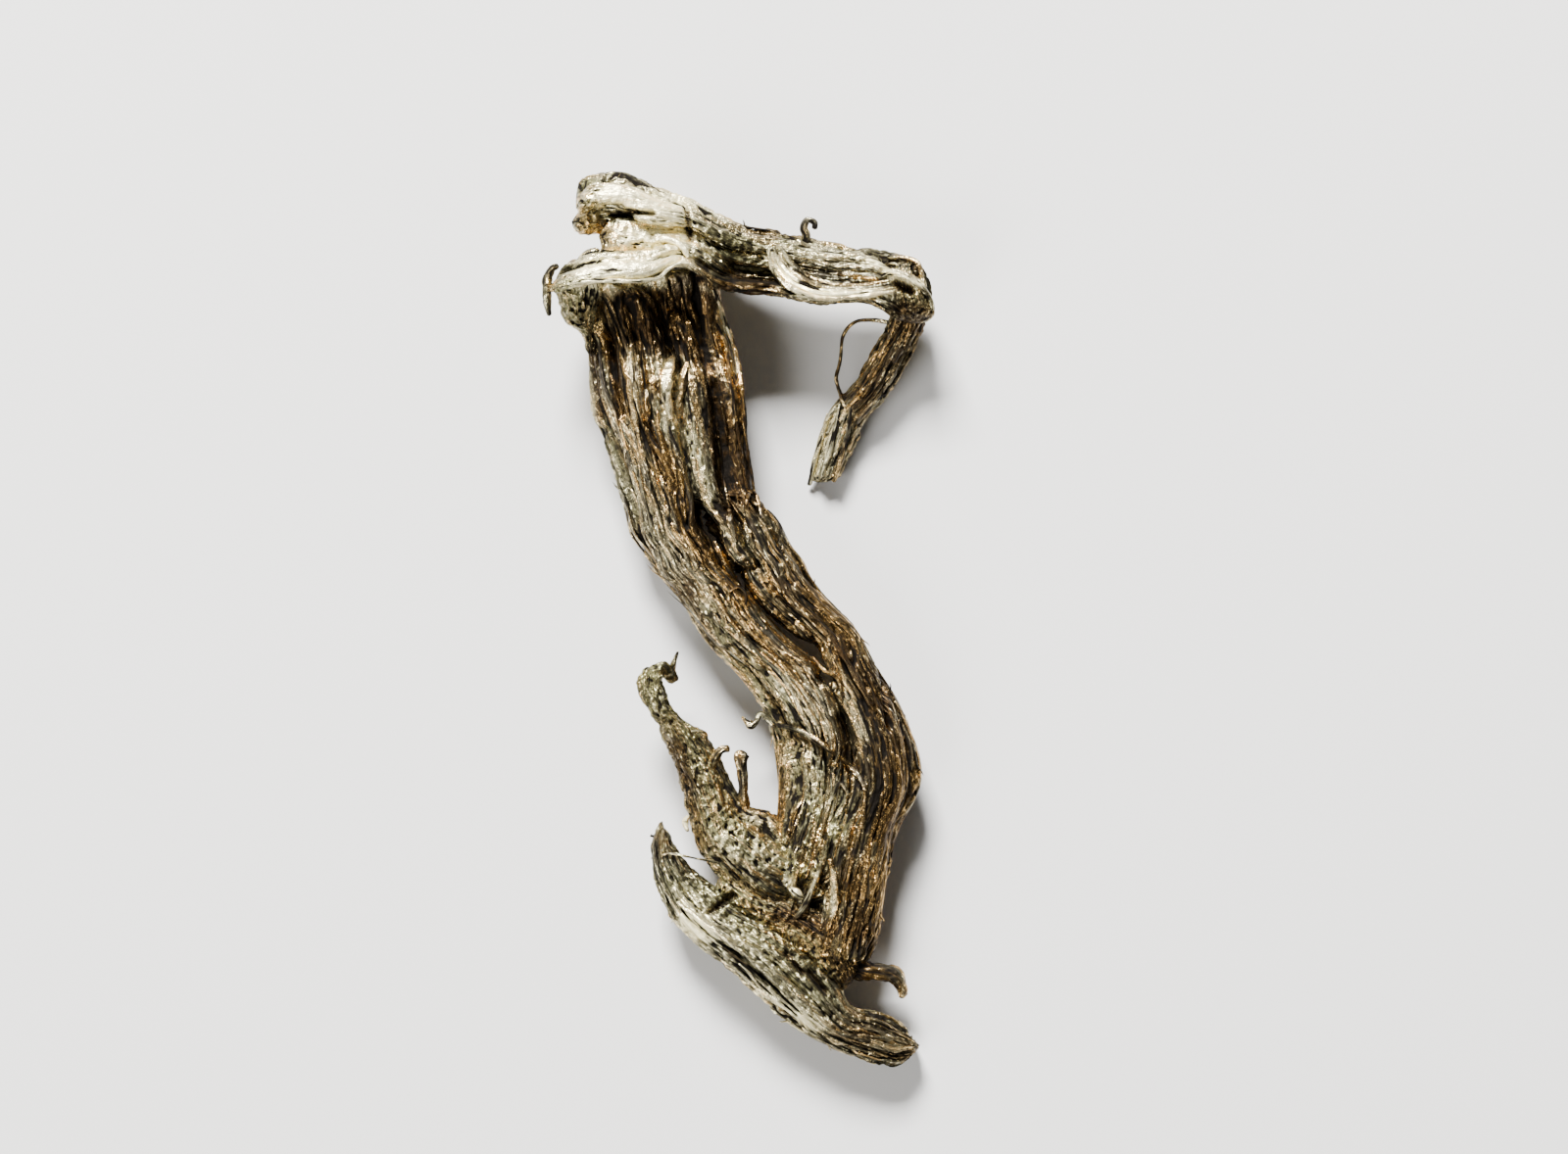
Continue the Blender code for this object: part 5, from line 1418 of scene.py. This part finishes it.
class SILVER_OT_arm(bpy.types.Operator):
    """Adds the head's lips, ledge and shoulder, and the arm with its knuckle"""

    bl_idname = "silver.arm"
    bl_label = "Add head and arm"

    def execute(self, context):
        look = Look("bright_silver", "top_arm", seed=400, warmth=0.22, strands=130)
        laid = (*fan(SWEEP_EDGE, SWEEP_INNER, 5), RIM_LINE, KNUCKLE_BAND, KNUCKLE_CORNER, MIDDLE_BEADS)
        surfaces = add_skins(ARM, ARM_SKINS, look)
        surfaces += add_skins(SHOULDER, SHOULDER_SKINS, look._replace(seed=620, warmth=0.1))
        surfaces += add_skins(KNUCKLE, KNUCKLE_SKINS, look._replace(seed=660, warmth=0.3))
        add_strands(ARM, ARM_SKINS, look)
        add_wires((LEFT_HOOK, LEFT_HOOK_ROOT, ARM_LOOP), laid, surfaces, look)
        return {"FINISHED"}


class SILVER_OT_hanging(bpy.types.Operator):
    """Adds the thin bundle that hangs from the arm, with its hair"""

    bl_idname = "silver.hanging"
    bl_label = "Add hanging bundle"

    def execute(self, context):
        look = Look("tarnished_silver", "hanging_bundle", seed=700, warmth=0.42, strands=40)
        laid = (HANGING_LEFT, HANGING_MIDDLE, HANGING_RIGHT)
        surfaces = add_skins(HANGING, HANGING_SKINS, look)
        add_strands(HANGING, HANGING_SKINS, look)
        add_wires((HANGING_HAIR, HANGING_SPUR), laid, surfaces, look)
        return {"FINISHED"}


class SILVER_OT_horn(bpy.types.Operator):
    """Adds the horn, its curled tip, its pin and its spur"""

    bl_idname = "silver.horn"
    bl_label = "Add horn"

    def execute(self, context):
        look = Look("tarnished_silver", "left_horn", seed=800, warmth=0.35, strands=40)
        surfaces = add_skins(HORN, HORN_SKINS, look)
        add_strands(HORN, HORN_SKINS, look)
        add_wires((HORN_TIP, HORN_PIN, HORN_SPUR, HORN_SPIKE), (HORN_SPECK,), surfaces, look)
        return {"FINISHED"}


class SILVER_OT_lobe(bpy.types.Operator):
    """Adds the ridged lobe across the foot"""

    bl_idname = "silver.lobe"
    bl_label = "Add lobe"

    def execute(self, context):
        look = Look("grey_silver", "lower_lobe", seed=900, warmth=0.08, strands=80)
        surfaces = add_skins(LOBE, LOBE_SKINS, look)
        add_strands(LOBE, LOBE_SKINS, look)
        add_wires((LOBE_HAIR,), (LOBE_SLIT_EDGE,), surfaces, look)
        return {"FINISHED"}


# Half the floor's side, each light's name, place and size, and the camera's place in the plan, in metres. The
# view is VIEW_WIDTH wide at the height VIEW_LEVEL, which is the middle of the specimen's depth.
FLOOR_HALF = 1.5
KEY_LIGHT = ("key_light", (-0.10, 0.42, 0.38), 0.16)
FILL_LIGHT = ("fill_light", (-0.32, -0.25, 0.40), 0.30)
VIEW_CENTRE = (0.00225, 0.0023)
VIEW_WIDTH = 0.080
VIEW_LEVEL = 0.004


class SILVER_OT_stage(bpy.types.Operator):
    """Adds the floor, the lights and the camera, which looks straight down"""

    bl_idname = "silver.stage"
    bl_label = "Add stage"

    def execute(self, context):
        stage = context.scene.silver_stage
        add_floor(stage.floor)
        add_world(stage.sky)
        add_light(*KEY_LIGHT, stage.key)
        add_light(*FILL_LIGHT, stage.fill)
        add_camera()
        return {"FINISHED"}


def add_floor(colour):
    """A flat square of a matt colour, which the specimen lies on."""
    mesh = bpy.data.meshes.new("floor")
    corners = [(FLOOR_HALF * x, FLOOR_HALF * y, 0) for x, y in ((-1, -1), (1, -1), (1, 1), (-1, 1))]
    mesh.from_pydata(corners, [], [(0, 1, 2, 3)])
    floor = bpy.data.objects.new("floor", mesh)
    bpy.context.scene.collection.objects.link(floor)
    material = bpy.data.materials.new("floor_finish")
    material.use_nodes = True
    shader = material.node_tree.nodes["Principled BSDF"]
    shader.inputs["Base Color"].default_value = (*colour, 1)
    shader.inputs["Roughness"].default_value = 0.9
    shader.inputs["Specular IOR Level"].default_value = 0.1
    mesh.materials.append(material)


def add_world(strength):
    """An even light from all sides, slightly warm."""
    world = bpy.data.worlds.new("studio")
    world.use_nodes = True
    back = world.node_tree.nodes["Background"]
    back.inputs["Color"].default_value = (1.0, 0.98, 0.96, 1)
    back.inputs["Strength"].default_value = strength
    bpy.context.scene.world = world


def add_light(name, place, size, power):
    """A square soft light at place that faces the specimen's middle."""
    data = bpy.data.lights.new(name, "AREA")
    data.shape = "SQUARE"
    data.size = size
    data.energy = power
    light = bpy.data.objects.new(name, data)
    light.location = place
    light.rotation_euler = (-Vector(place)).to_track_quat("-Z", "Y").to_euler()
    bpy.context.scene.collection.objects.link(light)


def add_camera():
    """Looks straight down on the specimen."""
    data = bpy.data.cameras.new("camera")
    data.lens = 100
    data.sensor_width = 36
    data.clip_start = 0.01
    camera = bpy.data.objects.new("camera", data)
    camera.location = (*VIEW_CENTRE, VIEW_LEVEL + VIEW_WIDTH * data.lens / data.sensor_width)
    bpy.context.scene.collection.objects.link(camera)
    bpy.context.scene.camera = camera


OPERATORS = (
    SILVER_OT_stem, SILVER_OT_arm, SILVER_OT_hanging, SILVER_OT_horn, SILVER_OT_lobe, SILVER_OT_stage,
)


class SILVER_PT_specimen(bpy.types.Panel):
    """Lists the specimen's pieces, sizes and tints"""

    bl_idname = "SILVER_PT_specimen"
    bl_label = "Native silver specimen"
    bl_space_type = "VIEW_3D"
    bl_region_type = "UI"
    bl_category = "Silver"

    def draw(self, context):
        for settings in (context.scene.silver_shape, context.scene.silver_tints, context.scene.silver_stage):
            box = self.layout.box()
            for key in settings.__annotations__:
                box.prop(settings, key)
        for operator in OPERATORS:
            self.layout.operator(operator.bl_idname)


SETTINGS = {"silver_shape": SilverShape, "silver_tints": SilverTints, "silver_stage": SilverStage}
CLASSES = (*SETTINGS.values(), *OPERATORS, SILVER_PT_specimen)


def register():
    for cls in CLASSES:
        bpy.utils.register_class(cls)
    for name, cls in SETTINGS.items():
        setattr(bpy.types.Scene, name, bpy.props.PointerProperty(type=cls))


def unregister():
    for name in SETTINGS:
        delattr(bpy.types.Scene, name)
    for cls in reversed(CLASSES):
        bpy.utils.unregister_class(cls)


def main():
    register()
    bpy.ops.silver.stage()
    bpy.ops.silver.stem()
    bpy.ops.silver.arm()
    bpy.ops.silver.hanging()
    bpy.ops.silver.horn()
    bpy.ops.silver.lobe()


if __name__ == "__main__":
    main()
